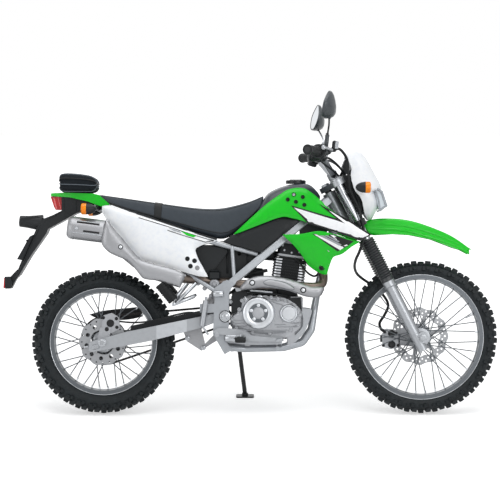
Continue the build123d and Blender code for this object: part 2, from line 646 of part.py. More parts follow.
with BuildPart() as front_caliper:
    slab([(486, 262), (482, 312), (500, 336), (540, 330), (560, 300), (556, 268), (520, 252)], 48, 74, corner=6)
    drum(FRONT_AXLE, 121, 56, 64, mode=Mode.SUBTRACT)
    slab([(540, 330), (590, 345), (612, 330), (625, 290), (610, 262), (556, 268)], 66, 84, corner=3)
    add(fork_sliders.part, mode=Mode.SUBTRACT)
front_caliper.part.label = "front_caliper"

with BuildPart() as front_fender:
    hull([
        # x, z_low, z_high, half_low, half_high, corner
        (405, 715, 762, 74, 54, 12),
        (449, 710, 777, 75, 52, 12),
        (515, 706, 779, 75, 50, 12),
        (576, 700, 773, 74, 48, 12),
        (641, 684, 756, 72, 45, 12),
        (706, 668, 732, 66, 40, 12),
        (771, 648, 700, 58, 34, 10),
        (838, 620, 655, 47, 26, 8),
    ])
    hull([
        (400, 690, 757, 70.5, 50, 11),
        (449, 690, 773, 71.5, 48, 11),
        (515, 686, 775, 71.5, 46, 11),
        (576, 680, 769, 70.5, 44, 11),
        (641, 664, 752, 68.5, 41, 11),
        (706, 648, 728, 62.5, 36, 11),
        (771, 628, 696, 54.5, 30, 9),
        (845, 596, 649, 43.5, 22, 7),
    ], mode=Mode.SUBTRACT)
    slab([(380, 757), (407, 753), (430, 712), (458, 712), (527, 716), (592, 712), (674, 695), (765, 660), (790, 653),
          (829, 654), (860, 656), (860, 560), (380, 560)], -90, 90, mode=Mode.SUBTRACT)
    add(triple_clamps.part, mode=Mode.SUBTRACT)
    for side in (-1, 1):
        rod(fork(LEG_AHEAD, side * LEG_SIDE, 270), fork(LEG_AHEAD, side * LEG_SIDE, 620), BOOT_R + 3, mode=Mode.SUBTRACT)
front_fender.part.label = "front_fender"

with BuildPart() as headlight_cowl:
    slab(
        [(351, 1046), (392, 1042), (408, 1022), (437, 977), (461, 928), (477, 884), (494, 822), (461, 806), (459, 790),
         (421, 773), (404, 802), (396, 843), (372, 875), (351, 945), (355, 993), (327, 1022)],
        -112, 112,
    )
    front_view([(-50, 740), (-88, 800), (-112, 860), (-112, 900), (-100, 960), (-78, 1046), (78, 1046), (100, 960),
                (112, 900), (112, 860), (88, 800), (50, 740)], 300, 520, corner=8, mode=Mode.INTERSECT)
    plan([(300, -120), (440, -120), (500, -78), (500, 78), (440, 120), (300, 120)], 700, 1060, corner=10,
         mode=Mode.INTERSECT)
    slab([(436, 906), (520, 912), (520, 806), (455, 806)], -76, 76, mode=Mode.SUBTRACT)
headlight_cowl.part.label = "headlight_cowl"

with BuildPart() as headlight_lens:
    slab([(442, 904), (474, 884), (492, 827), (463, 809)], -75.5, 75.5, corner=4)
headlight_lens.part.label = "headlight_lens"

with BuildPart() as front_indicators:
    for side in (-1, 1):
        rod((377, side * 180, 899), (425, side * 180, 899), 21)
        rod((400, side * 112.5, 899), (400, side * 161, 899), 8)
front_indicators.part.label = "front_indicators"

with BuildPart() as handlebar:
    pipe([(170, -385, 1038), (214, -277, 1037), (232, -190, 1020), (282, -70, 950), (282, 70, 950), (232, 190, 1020),
          (214, 277, 1037), (170, 385, 1038)], BAR_R, 30)
handlebar.part.label = "handlebar"

with BuildPart() as grips:
    for side in (-1, 1):
        rod((170, side * 385, 1038), (214, side * 277, 1037), GRIP_R)
        rod((212, side * 282, 1037), (214, side * 277, 1037), 22)
    add(handlebar.part, mode=Mode.SUBTRACT)
grips.part.label = "grips"

with BuildPart() as bar_controls:
    for side in (-1, 1):
        rod((216.5, side * 272.5, 1036), (221, side * 246, 1031), 25)
        rod((223, side * 236, 1029), (227, side * 214, 1025), 17)
        rod((228, side * 228, 1029), (262, side * 226, 1040), 9)
        pipe([(262, side * 226, 1040), (266, side * 270, 1042), (232, side * 372, 1046)], 6, 12)
    slab([(272, 1052), (278, 1090), (302, 1088), (300, 1050)], -236, -196, corner=5)
    slab([(255, 1034), (250, 1056), (290, 1060), (290, 1040)], -232, -206, corner=3)
    add(handlebar.part, mode=Mode.SUBTRACT)
    add(grips.part, mode=Mode.SUBTRACT)
bar_controls.part.label = "bar_controls"

with BuildPart() as front_brake_hose:
    hose([(278, -210, 1046), (306, -160, 1048), (334, -124, 1010), (340, -113, 950), (350, -106, 885),
          (378, -101, 826), (392, -126, 772), (400, -131, 706), (384, -112, 648), (370, -60, 622), (368, 0, 618),
          (374, 60, 606), (392, 108, 574), (420, 128, 522), (452, 126, 466), (484, 112, 412), (506, 92, 362),
          (516, 70, 316)])
    for other in (bar_controls, front_caliper, triple_clamps):
        add(other.part, mode=Mode.SUBTRACT)
front_brake_hose.part.label = "front_brake_hose"

with BuildPart() as mirrors:
    for side, x, y, z in ((-1, 257, 303, 1214), (1, 222, 303, 1203)):
        glass = Vector(cos(radians(15)), side * sin(radians(15)), 0)
        centre = Vector(x, side * y, z)
        rod(centre - glass * 12, centre + glass * 12, 55)
        pipe([(240, side * 238, 1056), (252, side * 252, 1105), tuple(centre + glass * 8 - Vector(0, 0, 40))], 5.5, 20)
        rod((240, side * 238, 1050), (242, side * 240, 1066), 12)
    add(bar_controls.part, mode=Mode.SUBTRACT)
mirrors.part.label = "mirrors"

with BuildPart() as meter:
    slab([(306, 990), (318, 1026), (340, 1018), (344, 958), (322, 946)], -58, 58, corner=5)
    slab([(322, 946), (344, 958), (340, 930), (324, 925)], -16, 16)
    add(headlight_cowl.part, mode=Mode.SUBTRACT)
    add(triple_clamps.part, mode=Mode.SUBTRACT)
meter.part.label = "meter"

# ---------------------------------------------------------------- wheels


def turned_ring(at, profile):
    """A ring whose (radius, half width) profile is mirrored about the wheel's mid-plane."""
    turned(at, profile + [(radius, -half) for radius, half in reversed(profile)])


WHEELS = {
    # axle, tyre radius, tyre half width, rim flange radius, rim half width
    "front": (FRONT_AXLE, FRONT_TYRE_R, FRONT_TYRE_HALF, FRONT_RIM_R, 26),
    "rear": (REAR_AXLE, REAR_TYRE_R, REAR_TYRE_HALF, REAR_RIM_R, 31),
}


def tyre(at, outer, half, flange, rim_half):
    """A knobbly tyre of flat pitches round the axle."""
    wall = outer - flange
    # radius and half width of the casing from the bead to the edge of the centre blocks
    casing = [
        (flange - 12.5, rim_half - 4.8), (flange + 0.5, rim_half - 2.3), (flange + 0.4 * wall, half - 7),
        (outer - 28, half - 4), (outer - 13, half - 16), (outer - 11, CROWN_HALF + 1),
    ]
    casing += [(radius, -y) for radius, y in reversed(casing)]
    # the facets that carry a block, with the radius and half width of the block's top edges
    shoulder = [(outer - 25, half), (outer - 5, half - 8)]
    blocks = {
        3: shoulder,
        5: [(outer, CROWN_HALF), (outer, -CROWN_HALF)],
        7: [(radius, -y) for radius, y in reversed(shoulder)],
    }
    half_pitch = pi / TYRE_PITCHES

    def point(radius, y, pitch, side, taper=1):
        """A point at the low or high edge of a pitch; the radius is measured to the middle of its flat."""
        middle, across = 2 * pi * pitch / TYRE_PITCHES, side * taper * radius * tan(half_pitch)
        return (at[0] + radius * cos(middle) - across * sin(middle), y, at[1] + radius * sin(middle) + across * cos(middle))

    faces = []
    for pitch in range(TYRE_PITCHES):
        for facet, start in enumerate(casing):
            end = casing[(facet + 1) % len(casing)]
            foot = [point(*start, pitch, -1), point(*start, pitch, 1), point(*end, pitch, 1), point(*end, pitch, -1)]
            if facet not in blocks or (facet == 5) != (pitch % 2 == 0):
                faces.append(flat(*foot))
                continue
            near, far = blocks[facet]
            top = [point(*near, pitch, -1, BLOCK_TAPER), point(*near, pitch, 1, BLOCK_TAPER),
                   point(*far, pitch, 1, BLOCK_TAPER), point(*far, pitch, -1, BLOCK_TAPER)]
            faces.append(flat(*top))
            for i, j in ((0, 1), (2, 3)):
                faces.append(flat(foot[i], foot[j], top[j], top[i]))
            for i, j in ((1, 2), (3, 0)):
                faces += [flat(foot[i], foot[j], top[i]), flat(foot[j], top[j], top[i])]
    add(Solid(Shell(faces)))


def rim(at, flange, rim_half):
    bed = [(flange, rim_half), (flange, rim_half - 2), (flange - 13, rim_half - 4.5), (flange - 14, rim_half - 12),
           (flange - 17, 6)]
    inside = [(flange - 16, rim_half), (flange - 17.5, rim_half - 10), (flange - 21, 6)]
    far = [(radius, -half) for radius, half in reversed(bed)] + [(radius, -half) for radius, half in inside]
    turned(at, bed + far + inside[::-1])


def spoke_set(at, hub_r, hub_y, rim_r, rim_y, rod_r):
    """Crossed spokes: each leaves its hub flange a sixth of a turn ahead of or behind where it meets the rim."""
    for i in range(SPOKES):
        side = 1 if i % 2 else -1
        lead = 1 if i % 4 < 2 else -1
        rim_at = 2 * pi * (i + 0.5) / SPOKES
        hub_at = rim_at + lead * radians(62)
        y_hub = side * (hub_y + (3.2 if lead > 0 else -3.2))
        rod((at[0] + hub_r * cos(hub_at), y_hub, at[1] + hub_r * sin(hub_at)),
            (at[0] + rim_r * cos(rim_at), side * rim_y, at[1] + rim_r * sin(rim_at)), rod_r)


with BuildPart() as front_tyre:
    tyre(*WHEELS["front"])
front_tyre.part.label = "front_tyre"

with BuildPart() as front_rim:
    rim(FRONT_AXLE, FRONT_RIM_R, 26)
front_rim.part.label = "front_rim"

with BuildPart() as front_spokes:
    spoke_set(FRONT_AXLE, 30, 30, FRONT_RIM_R - 20, 4, 1.9)
front_spokes.part.label = "front_spokes"

with BuildPart() as front_hub:
    turned(FRONT_AXLE, [(8.3, -43), (24, -43), (24, -37), (35, -36), (35, -24), (23, -22), (23, 22), (35, 24),
                        (35, 36), (27, 38), (27, 57.8), (48, 57.8), (48, 54), (30, 54), (30, 63), (8.3, 63)])
front_hub.part.label = "front_hub"

with BuildPart() as front_disc:
    drum(FRONT_AXLE, 118, 58, 62, bore=92)
    drum(FRONT_AXLE, 56, 58, 62, bore=36)
    for i in range(6):
        angle = 2 * pi * i / 6
        c, s = cos(angle), sin(angle)
        slab([(FRONT_AXLE[0] + r * c - w * s, FRONT_AXLE[1] + r * s + w * c)
              for r, w in ((50, -7), (95, -5), (95, 5), (50, 7))], 58, 62)
    for radius, count in ((98, 24), (105, 24), (112, 24)):
        for x, z in round_bolt_circle(FRONT_AXLE, radius, count):
            drum((x, z), 2.6, 50, 70, mode=Mode.SUBTRACT)
front_disc.part.label = "front_disc"

with BuildPart() as rear_tyre:
    tyre(*WHEELS["rear"])
rear_tyre.part.label = "rear_tyre"

with BuildPart() as rear_rim:
    rim(REAR_AXLE, REAR_RIM_R, 31)
rear_rim.part.label = "rear_rim"

with BuildPart() as rear_spokes:
    spoke_set(REAR_AXLE, 38, 34, REAR_RIM_R - 20, 5, 2.0)
rear_spokes.part.label = "rear_spokes"

with BuildPart() as rear_hub:
    turned(REAR_AXLE, [(8.3, -73), (22, -73), (22, -62.8), (32, -62.8), (32, -41), (43, -40), (43, -28), (28, -26),
                       (28, 26), (43, 28), (43, 40), (36, 42), (36, 67.8), (24, 67.8), (24, 80), (8.3, 80)])
rear_hub.part.label = "rear_hub"

with BuildPart() as rear_disc:
    drum(REAR_AXLE, 93, -67, -63, bore=72)
    drum(REAR_AXLE, 46, -67, -63, bore=22.2)
    for i in range(5):
        angle = 2 * pi * i / 5
        c, s = cos(angle), sin(angle)
        slab([(REAR_AXLE[0] + r * c - w * s, REAR_AXLE[1] + r * s + w * c)
              for r, w in ((42, -7), (75, -5), (75, 5), (42, 7))], -67, -63)
    for radius, count in ((77, 20), (83, 20), (88, 20)):
        for x, z in round_bolt_circle(REAR_AXLE, radius, count):
            drum((x, z), 2.3, -75, -55, mode=Mode.SUBTRACT)
rear_disc.part.label = "rear_disc"

with BuildPart() as rear_sprocket:
    drum(REAR_AXLE, wheel_sprocket_r - 5.5, 68, 74, bore=24.2)
    for x, z in round_bolt_circle(REAR_AXLE, 68, 6):
        drum((x, z), 13, 60, 80, mode=Mode.SUBTRACT)
rear_sprocket.part.label = "rear_sprocket"

# ---------------------------------------------------------------- park the motorcycle on its stand and write it

pieces = (
    fuel_tank, fuel_cap, seat, tank_shrouds, lower_shrouds, tank_side_covers, side_panels, air_box, frame,
    engine_cases, cylinder, carburettor, exhaust_pipe, silencer, exhaust_guards, swingarm, shock_absorber,
    rear_axle, chain, rear_brake_hose, front_brake_hose,
    front_sprocket, chain_guard, rear_caliper, foot_pegs, foot_controls, tail_fender, plate_holder, rear_lamps,
    rear_indicators, tail_bag, side_stand, triple_clamps, fork_tubes, fork_boots, fork_sliders, front_axle,
    front_caliper, front_fender, headlight_cowl, headlight_lens, front_indicators, handlebar, grips, bar_controls,
    mirrors, meter, front_tyre, front_rim, front_spokes, front_hub, front_disc, rear_tyre, rear_rim, rear_spokes,
    rear_hub, rear_disc, rear_sprocket,
)
lean = Location((0, 0, 0), (-LEAN, 0, 0))
boxes = [piece.part.moved(lean).bounding_box() for piece in pieces]
low = [min(getattr(box.min, axis) for box in boxes) for axis in "XYZ"]
high = [max(getattr(box.max, axis) for box in boxes) for axis in "XYZ"]
rest = Location((-(low[0] + high[0]) / 2, -(low[1] + high[1]) / 2, -low[2])) * lean
print("whole", [round(b - a, 1) for a, b in zip(low, high)], "shift", rest)

os.makedirs("parts", exist_ok=True)
for piece in pieces:
    piece.part.move(rest)
    export_step(piece.part, f"parts/{piece.part.label}.step")
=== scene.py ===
import json

import bmesh
import bpy
from math import ceil, cos, exp, pi, radians, sin
from mathutils import Matrix, Vector
from mathutils.geometry import delaunay_2d_cdt


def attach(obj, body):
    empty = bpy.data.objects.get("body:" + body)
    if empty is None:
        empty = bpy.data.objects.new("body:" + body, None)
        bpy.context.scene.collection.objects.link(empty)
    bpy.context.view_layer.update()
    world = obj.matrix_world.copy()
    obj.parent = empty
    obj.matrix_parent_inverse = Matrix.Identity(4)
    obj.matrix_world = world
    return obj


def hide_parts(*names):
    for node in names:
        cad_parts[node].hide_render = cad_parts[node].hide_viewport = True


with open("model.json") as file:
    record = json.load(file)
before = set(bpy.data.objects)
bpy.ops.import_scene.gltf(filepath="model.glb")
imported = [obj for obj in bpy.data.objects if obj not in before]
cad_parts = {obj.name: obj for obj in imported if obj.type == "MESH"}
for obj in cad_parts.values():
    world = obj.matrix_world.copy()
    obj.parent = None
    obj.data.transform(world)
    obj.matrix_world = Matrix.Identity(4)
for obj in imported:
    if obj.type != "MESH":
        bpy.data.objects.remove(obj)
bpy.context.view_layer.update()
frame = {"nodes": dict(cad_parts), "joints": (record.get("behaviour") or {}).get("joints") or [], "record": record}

# The motorcycle's pieces are given in bike coordinates: millimetres, upright, +X forward, +Y left, +Z up,
# with the ground at Z = 0 below the middle of the wheelbase. BIKE takes them to the frame, where it leans
# on its stand.
LEAN, RAKE = radians(10), radians(27)
FRONT_AXLE, REAR_AXLE = (635.0, 305.0), (-635.0, 287.0)
nodes = frame["nodes"]
joint_at = {joint["name"]: Vector(joint["pos_m"]) for joint in frame["joints"]}
turn = Matrix.Rotation(-LEAN, 4, "X") @ Matrix.Diagonal((0.001, 0.001, 0.001, 1))
rear_hub_at = turn @ Vector((REAR_AXLE[0], 0, REAR_AXLE[1]))
BIKE = Matrix.Translation(joint_at["rear_wheel_spin"] - rear_hub_at) @ turn
RIGHT, LEFT = -1, 1
SIDES = (RIGHT, LEFT)
ACROSS, UP = Vector((0, 1, 0)), Vector((0, 0, 1))
OUT_RIGHT = (0, RIGHT, 0)
LEG_AHEAD, LEG_SIDE = 46, 92
# the point of the steering axis that fork() measures from, behind and just below the front axle
STEM_X, STEM_Z = 576.2, 275


def fork(ahead, left, up):
    """A point ahead of, left of and along the steering axis, in bike coordinates."""
    return Vector((STEM_X + ahead * cos(RAKE) - up * sin(RAKE), left,
                   STEM_Z + ahead * sin(RAKE) + up * cos(RAKE)))


def leg(side, up):
    """A point on the axis of a fork leg."""
    return fork(LEG_AHEAD, side * LEG_SIDE, up)


def around(at, radius, angle):
    """The (X, Z) spot on a circle about another one."""
    return at[0] + radius * cos(angle), at[1] + radius * sin(angle)


def out_to(spot, y):
    """An (X, Z) spot of the mid-plane moved out to y."""
    return Vector((spot[0], y, spot[1]))


def turns(count):
    """The angles of a full turn in equal steps."""
    return [2 * pi * i / count for i in range(count)]


def turned(angle):
    """The directions forward and up, turned so that a positive angle lifts the front."""
    return Vector((cos(angle), 0, sin(angle))), Vector((-sin(angle), 0, cos(angle)))


# ---------------------------------------------------------------- materials


COAT_ROUGHNESS = 0.06
# the part of the noise that shows as spots, and the depth of a bump in metres
SPOTS_FROM, SPOTS_TO, BUMP_DEPTH = 0.42, 0.8, 0.0006


def srgb(red, green, blue):
    """A linear colour from 0 to 255 screen values."""
    parts = [value / 255 for value in (red, green, blue)]
    return tuple(v / 12.92 if v <= 0.04045 else ((v + 0.055) / 1.055) ** 2.4 for v in parts) + (1,)


def set_inputs(node, values):
    """Fill a shader node's inputs from a dict of their names."""
    for word, value in values.items():
        node.inputs[word].default_value = value
    return node


def add_node(tree, kind, values=None):
    """A new shader node with its inputs filled."""
    return set_inputs(tree.nodes.new("ShaderNode" + kind), values or {})


def material(name, color, rough, metal=0.0, coat=0.0, vary=0.06, grain=60.0, bump=0.0, bump_scale=400.0,
             second=None, stretch=(1, 1, 1), weave=0.0, spec=0.5):
    """A surface whose colour and roughness drift with noise, with a fine bump or a weave."""
    made = bpy.data.materials.new(name)
    made.use_nodes = True
    tree = made.node_tree
    link = tree.links.new
    color = srgb(*color)
    shader = set_inputs(tree.nodes["Principled BSDF"], {
        "Metallic": metal, "Coat Weight": coat, "Coat Roughness": COAT_ROUGHNESS, "Specular IOR Level": spec})
    place = add_node(tree, "TexCoord")
    scaled = add_node(tree, "Mapping", {"Scale": stretch})
    link(place.outputs["Object"], scaled.inputs["Vector"])
    noise = add_node(tree, "TexNoise", {"Scale": grain, "Detail": 4})
    link(scaled.outputs["Vector"], noise.inputs["Vector"])
    gloss = add_node(tree, "MapRange", {"To Min": max(0.03, rough - vary), "To Max": min(1.0, rough + vary)})
    link(noise.outputs["Fac"], gloss.inputs["Value"])
    link(gloss.outputs["Result"], shader.inputs["Roughness"])
    spots = add_node(tree, "MapRange", {"From Min": SPOTS_FROM, "From Max": SPOTS_TO})
    link(noise.outputs["Fac"], spots.inputs["Value"])
    tint = add_node(tree, "Mix")
    tint.data_type = "RGBA"
    faded = tuple(v * 0.92 for v in color[:3]) + (1,)
    set_inputs(tint, {"A": color, "B": srgb(*second) if second else faded})
    link(spots.outputs["Result"], tint.inputs["Factor"])
    link(tint.outputs["Result"], shader.inputs["Base Color"])
    if bump:
        if weave:
            fine = add_node(tree, "TexWave", {"Scale": weave, "Distortion": 1.5, "Detail": 2})
        else:
            fine = add_node(tree, "TexNoise", {"Scale": bump_scale, "Detail": 3})
        link(place.outputs["Object"], fine.inputs["Vector"])
        raised = add_node(tree, "Bump", {"Strength": bump, "Distance": BUMP_DEPTH})
        link(fine.outputs["Fac"], raised.inputs["Height"])
        link(raised.outputs["Normal"], shader.inputs["Normal"])
    return made


FINISHES = {
    # the record's slots
    "tank_black": dict(color=(46, 52, 60), rough=0.34, coat=0.12, vary=0.05, spec=0.4),
    "bright_metal": dict(color=(164, 167, 171), rough=0.24, metal=1.0),
    "seat_cover": dict(color=(46, 53, 60), rough=0.6, bump=0.4, bump_scale=900, vary=0.08, spec=0.35),
    "green_plastic": dict(color=(2, 190, 22), rough=0.3, coat=0.05, vary=0.04, spec=0.35,
                          second=(5, 182, 28)),
    "black_plastic": dict(color=(17, 21, 24), rough=0.42, bump=0.15, bump_scale=1200, spec=0.3),
    "white_plastic": dict(color=(240, 242, 244), rough=0.3, coat=0.2, vary=0.04, second=(230, 234, 240)),
    "frame_paint": dict(color=(158, 162, 167), rough=0.36, metal=0.5, coat=0.15, vary=0.05),
    "engine_silver": dict(color=(158, 160, 164), rough=0.42, metal=0.75, bump=0.35, bump_scale=1600),
    "engine_black": dict(color=(17, 20, 23), rough=0.5, metal=0.1, bump=0.25, bump_scale=1500, spec=0.3),
    "header_steel": dict(color=(112, 102, 94), rough=0.34, metal=0.9, second=(84, 74, 70), grain=14),
    "satin_steel": dict(color=(150, 151, 154), rough=0.42, metal=0.85, stretch=(1, 8, 8)),
    "satin_aluminium": dict(color=(158, 161, 165), rough=0.38, metal=0.85, bump=0.12, bump_scale=1500),
    "chain_steel": dict(color=(52, 50, 50), rough=0.42, metal=0.8),
    "black_metal": dict(color=(16, 18, 21), rough=0.36, metal=0.2, coat=0.1, spec=0.35),
    "red_lens": dict(color=(190, 6, 14), rough=0.18, coat=0.25, second=(150, 8, 16), grain=25),
    "amber_lens": dict(color=(252, 150, 0), rough=0.2, coat=0.15, second=(240, 120, 0), spec=0.3),
    "bag_fabric": dict(color=(20, 26, 31), rough=0.85, bump=0.8, weave=900, spec=0.25),
    "black_rubber": dict(color=(14, 17, 19), rough=0.55, bump=0.25, bump_scale=1100, spec=0.3),
    "clear_lens": dict(color=(214, 224, 230), rough=0.08, coat=0.8),
    "tyre": dict(color=(13, 19, 22), rough=0.6, bump=0.4, bump_scale=900, second=(28, 35, 38), spec=0.3),
    # the rim's colour is set far darker than bare aluminium: painted shade of the rim's band; the same dark colour
    # lays painted shade into the header guard's groove and the clutch cover's recess
    "rim_aluminium": dict(color=(98, 102, 106), rough=0.3, metal=0.95),
    "disc_steel": dict(color=(152, 154, 157), rough=0.34, metal=0.95, vary=0.08, grain=120),
    # finishes of parts of pieces
    "decal_white": dict(color=(246, 247, 249), rough=0.3, coat=0.3, vary=0.03),
    "decal_black": dict(color=(9, 10, 12), rough=0.34, coat=0.1, vary=0.03, spec=0.3),
    "decal_grey": dict(color=(150, 154, 160), rough=0.34, coat=0.3, vary=0.03),
    "bright_edge": dict(color=(194, 197, 201), rough=0.3, metal=0.9, bump=0.2, bump_scale=1800),
    "mirror_glass": dict(color=(225, 230, 235), rough=0.03, metal=1.0, vary=0.0),
    "bag_edge": dict(color=(84, 92, 100), rough=0.7, bump=0.4, bump_scale=900),
    "spoke_steel": dict(color=(88, 92, 96), rough=0.34, metal=0.9, vary=0.0),
    "boot_rubber": dict(color=(24, 28, 32), rough=0.36, vary=0.05, spec=0.6),
    "pale_red": dict(color=(236, 120, 120), rough=0.2, coat=0.5),
    "mirror_back": dict(color=(50, 56, 60), rough=0.4, coat=0.1, bump=0.1, bump_scale=1200),
    "lamp_glass_dark": dict(color=(60, 66, 70), rough=0.08, coat=0.8),
    "pale_plastic": dict(color=(158, 164, 170), rough=0.5, vary=0.04),
}
MATS = {name: material(name, **look) for name, look in FINISHES.items()}
SLOT_OF = {entry["node"]: entry["material_slot"] for entry in frame["record"]["subparts"]}
for name, node in nodes.items():
    node.data.materials.clear()
    node.data.materials.append(MATS["spoke_steel" if name.endswith("_spokes") else SLOT_OF[name]])
    for polygon in node.data.polygons:
        polygon.material_index = 0

# ---------------------------------------------------------------- shapes


class Form:
    """The points and faces of one piece, gathered in bike coordinates."""

    def __init__(self):
        self.points, self.faces = [], []

    def add(self, points, faces):
        base = len(self.points)
        self.points += [Vector(point) for point in points]
        self.faces += [tuple(base + i for i in face) for face in faces]
        return self

    def rings(self, rings, caps=True, loop=False):
        """A skin over rings that hold the same number of points."""
        count = len(rings[0])
        points = [point for ring in rings for point in ring]
        faces = []
        for r in range(len(rings) if loop else len(rings) - 1):
            low, high = r * count, (r + 1) % len(rings) * count
            for i in range(count):
                j = (i + 1) % count
                faces.append((low + i, low + j, high + j, high + i))
        if caps and not loop:
            faces += [tuple(range(count))[::-1], tuple(range(len(points) - count, len(points)))]
        return self.add(points, faces)

    def lathe(self, at, axis, profile, count=32, caps=True, loop=False):
        """A profile of (distance along the axis, radius) turned about the axis through a point."""
        axis = Vector(axis).normalized()
        across = axis.orthogonal().normalized()
        third = axis.cross(across)
        rings = [[Vector(at) + axis * run + (across * cos(a) + third * sin(a)) * max(radius, 0.01)
                  for a in turns(count)] for run, radius in profile]
        return self.rings(rings, caps=caps, loop=loop)

    def rod(self, start, end, radius, end_radius=None, count=20):
        """A round bar between two points with eased edges."""
        edge = 0.8
        run = Vector(end) - Vector(start)
        far = radius if end_radius is None else end_radius
        length = run.length
        return self.lathe(start, run,
                          [(0, radius - edge), (edge, radius), (length - edge, far), (length, far - edge)],
                          count)

    def tube(self, path, radius, count=10):
        """A round tube along a path of points; the radius may be one per point."""
        path = [Vector(point) for point in path]
        radii = radius if isinstance(radius, list) else [radius] * len(path)
        across = (path[1] - path[0]).orthogonal().normalized()
        rings = []
        for i, point in enumerate(path):
            along = (path[min(i + 1, len(path) - 1)] - path[max(i - 1, 0)]).normalized()
            across = (across - along * across.dot(along)).normalized()
            third = along.cross(across)
            rings.append([point + (across * cos(a) + third * sin(a)) * radii[i] for a in turns(count)])
        return self.rings(rings)

    def bent(self, points, radius, count=12, per=8):
        """A tube along a smooth line through a few points."""
        return self.tube(curve(points, per), radius, count)

    def block(self, centre, size, axes=None, edge=1.0):
        """A box with chamfered edges; axes are its own three directions."""
        u, v, w = [Vector(axis).normalized() for axis in axes or ((1, 0, 0), ACROSS, (0, 0, 1))]
        half = [extent / 2 for extent in size]
        outline = [(1, -1), (1, 1), (-1, 1), (-1, -1)]
        rings = []
        for height, inset in ((-half[2], edge), (-half[2] + edge, 0), (half[2] - edge, 0), (half[2], edge)):
            ring = []
            for a, b in outline:
                x, y = a * (half[0] - inset), b * (half[1] - inset)
                first, second = ((x, y - b * edge), (x - a * edge, y))
                if a * b < 0:
                    first, second = second, first
                ring += [first, second]
            rings.append([Vector(centre) + u * x + v * y + w * height for x, y in ring])
        return self.rings(rings)

    def slab(self, outline, places):
        """An (X, Z) outline that stands at each of several Y places."""
        return self.rings([[(x, y, z) for x, z in outline] for y in places])

    def bolt(self, at, out, radius, height=3.0):
        """A round-headed socket bolt standing out of a surface."""
        hole = radius * 0.5
        return self.lathe(at, out,
                          [(-1, radius), (height * 0.7, radius), (height, radius * 0.85), (height, hole),
                           (height * 0.35, hole)], 14)

    def nut(self, at, out, radius, height=4.0):
        """A hexagon nut or bolt head on a washer."""
        self.lathe(at, out, [(-1, radius * 1.25), (0.8, radius * 1.25), (1.2, radius * 1.15)], 20)
        return self.lathe(at, out, [(0, radius), (height * 0.8, radius), (height, radius * 0.8)], 6)

    def nuts(self, spots, y, radius, height):
        """Bolt heads at (X, Z) spots that look out to the right."""
        for x, z in spots:
            self.nut((x, y, z), OUT_RIGHT, radius, height)
        return self


def tilted(slope, across=(0, 1, 0)):
    """The axes of a block whose front is turned down at a slope."""
    return (1, 0, -slope), across, (slope, 0, 1)


def piece(name, form, finish, body="chassis", stands_for=(), sharp=40, smooth=True):
    """One object of the scene, riding on a body."""
    mesh = bpy.data.meshes.new(name)
    mesh.from_pydata([BIKE @ point for point in form.points], [], form.faces)
    mesh.validate()
    work = bmesh.new()
    work.from_mesh(mesh)
    bmesh.ops.recalc_face_normals(work, faces=work.faces)
    work.to_mesh(mesh)
    work.free()
    for polygon in mesh.polygons:
        polygon.use_smooth = smooth
    mesh.set_sharp_from_angle(angle=radians(sharp))
    mesh.materials.append(MATS[finish])
    made = bpy.data.objects.new(name, mesh)
    bpy.context.scene.collection.objects.link(made)
    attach(made, body)
    if stands_for:
        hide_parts(*stands_for)
    return made


def curve(points, per=6, closed=False):
    """Points along a smooth line through the given ones."""
    points = [Vector(point) for point in points]
    count = len(points)
    pick = (lambda i: points[i % count]) if closed else (lambda i: points[min(max(i, 0), count - 1)])
    line = []
    for i in range(count if closed else count - 1):
        a, b, c, d = pick(i - 1), pick(i), pick(i + 1), pick(i + 2)
        for step in range(per):
            t = step / per
            line.append(0.5 * (2 * b + (c - a) * t + (2 * a - 5 * b + 4 * c - d) * t ** 2
                               + (3 * b - a - 3 * c + d) * t ** 3))
    return line if closed else line + [points[-1]]


def outline_of(*runs):
    """A closed (X, Z) outline from smooth runs that meet at corners."""
    line = []
    for run in runs:
        line += curve(run, 5)[:-1] if len(run) > 2 else [Vector(run[0])]
    return line


def edge_distance(point, outline):
    """How far a point lies from a closed outline, and whether it is inside."""
    best, inside = 1e9, False
    for a, b in zip(outline, outline[1:] + outline[:1]):
        run = b - a
        share = max(0.0, min(1.0, (point - a).dot(run) / max(run.length_squared, 1e-9)))
        best = min(best, (a + run * share - point).length)
        if (a.y > point.y) != (b.y > point.y) and point.x < a.x + (point.y - a.y) * run.x / run.y:
            inside = not inside
    return best, inside


def flat(y):
    """The depth of an upright flat sheet."""
    return lambda x, z: y


def ring_points(at, radius, count=20):
    """A round hole's outline."""
    return [Vector(around(at, radius, a)) for a in turns(count)]


def patch(outline, holes=(), step=9.0):
    """Points and triangles that fill an (X, Z) outline, with a grid of points inside it."""
    loops = [list(outline)] + [list(hole) for hole in holes]
    points, edges = [], []
    for loop in loops:
        base = len(points)
        points += loop
        edges += [(base + i, base + (i + 1) % len(loop)) for i in range(len(loop))]
    low_x, high_x = min(p.x for p in outline), max(p.x for p in outline)
    low_z, high_z = min(p.y for p in outline), max(p.y for p in outline)
    for i in range(ceil((high_x - low_x) / step)):
        for j in range(ceil((high_z - low_z) / step)):
            spot = Vector((low_x + (i + 0.5 * (j % 2) + 0.3) * step, low_z + (j + 0.5) * step))
            distance, inside = edge_distance(spot, outline)
            if inside and distance > step * 0.45:
                near = [edge_distance(spot, hole) for hole in holes]
                if all(away > step * 0.4 and not within for away, within in near):
                    points.append(spot)
    found = delaunay_2d_cdt(points, edges, [], 1, 1e-4)
    faces = []
    for face in found[2]:
        middle = sum((found[0][i] for i in face), Vector((0, 0))) / len(face)
        if edge_distance(middle, outline)[1] and not any(edge_distance(middle, hole)[1] for hole in holes):
            faces.append(tuple(face))
    return found[0], faces


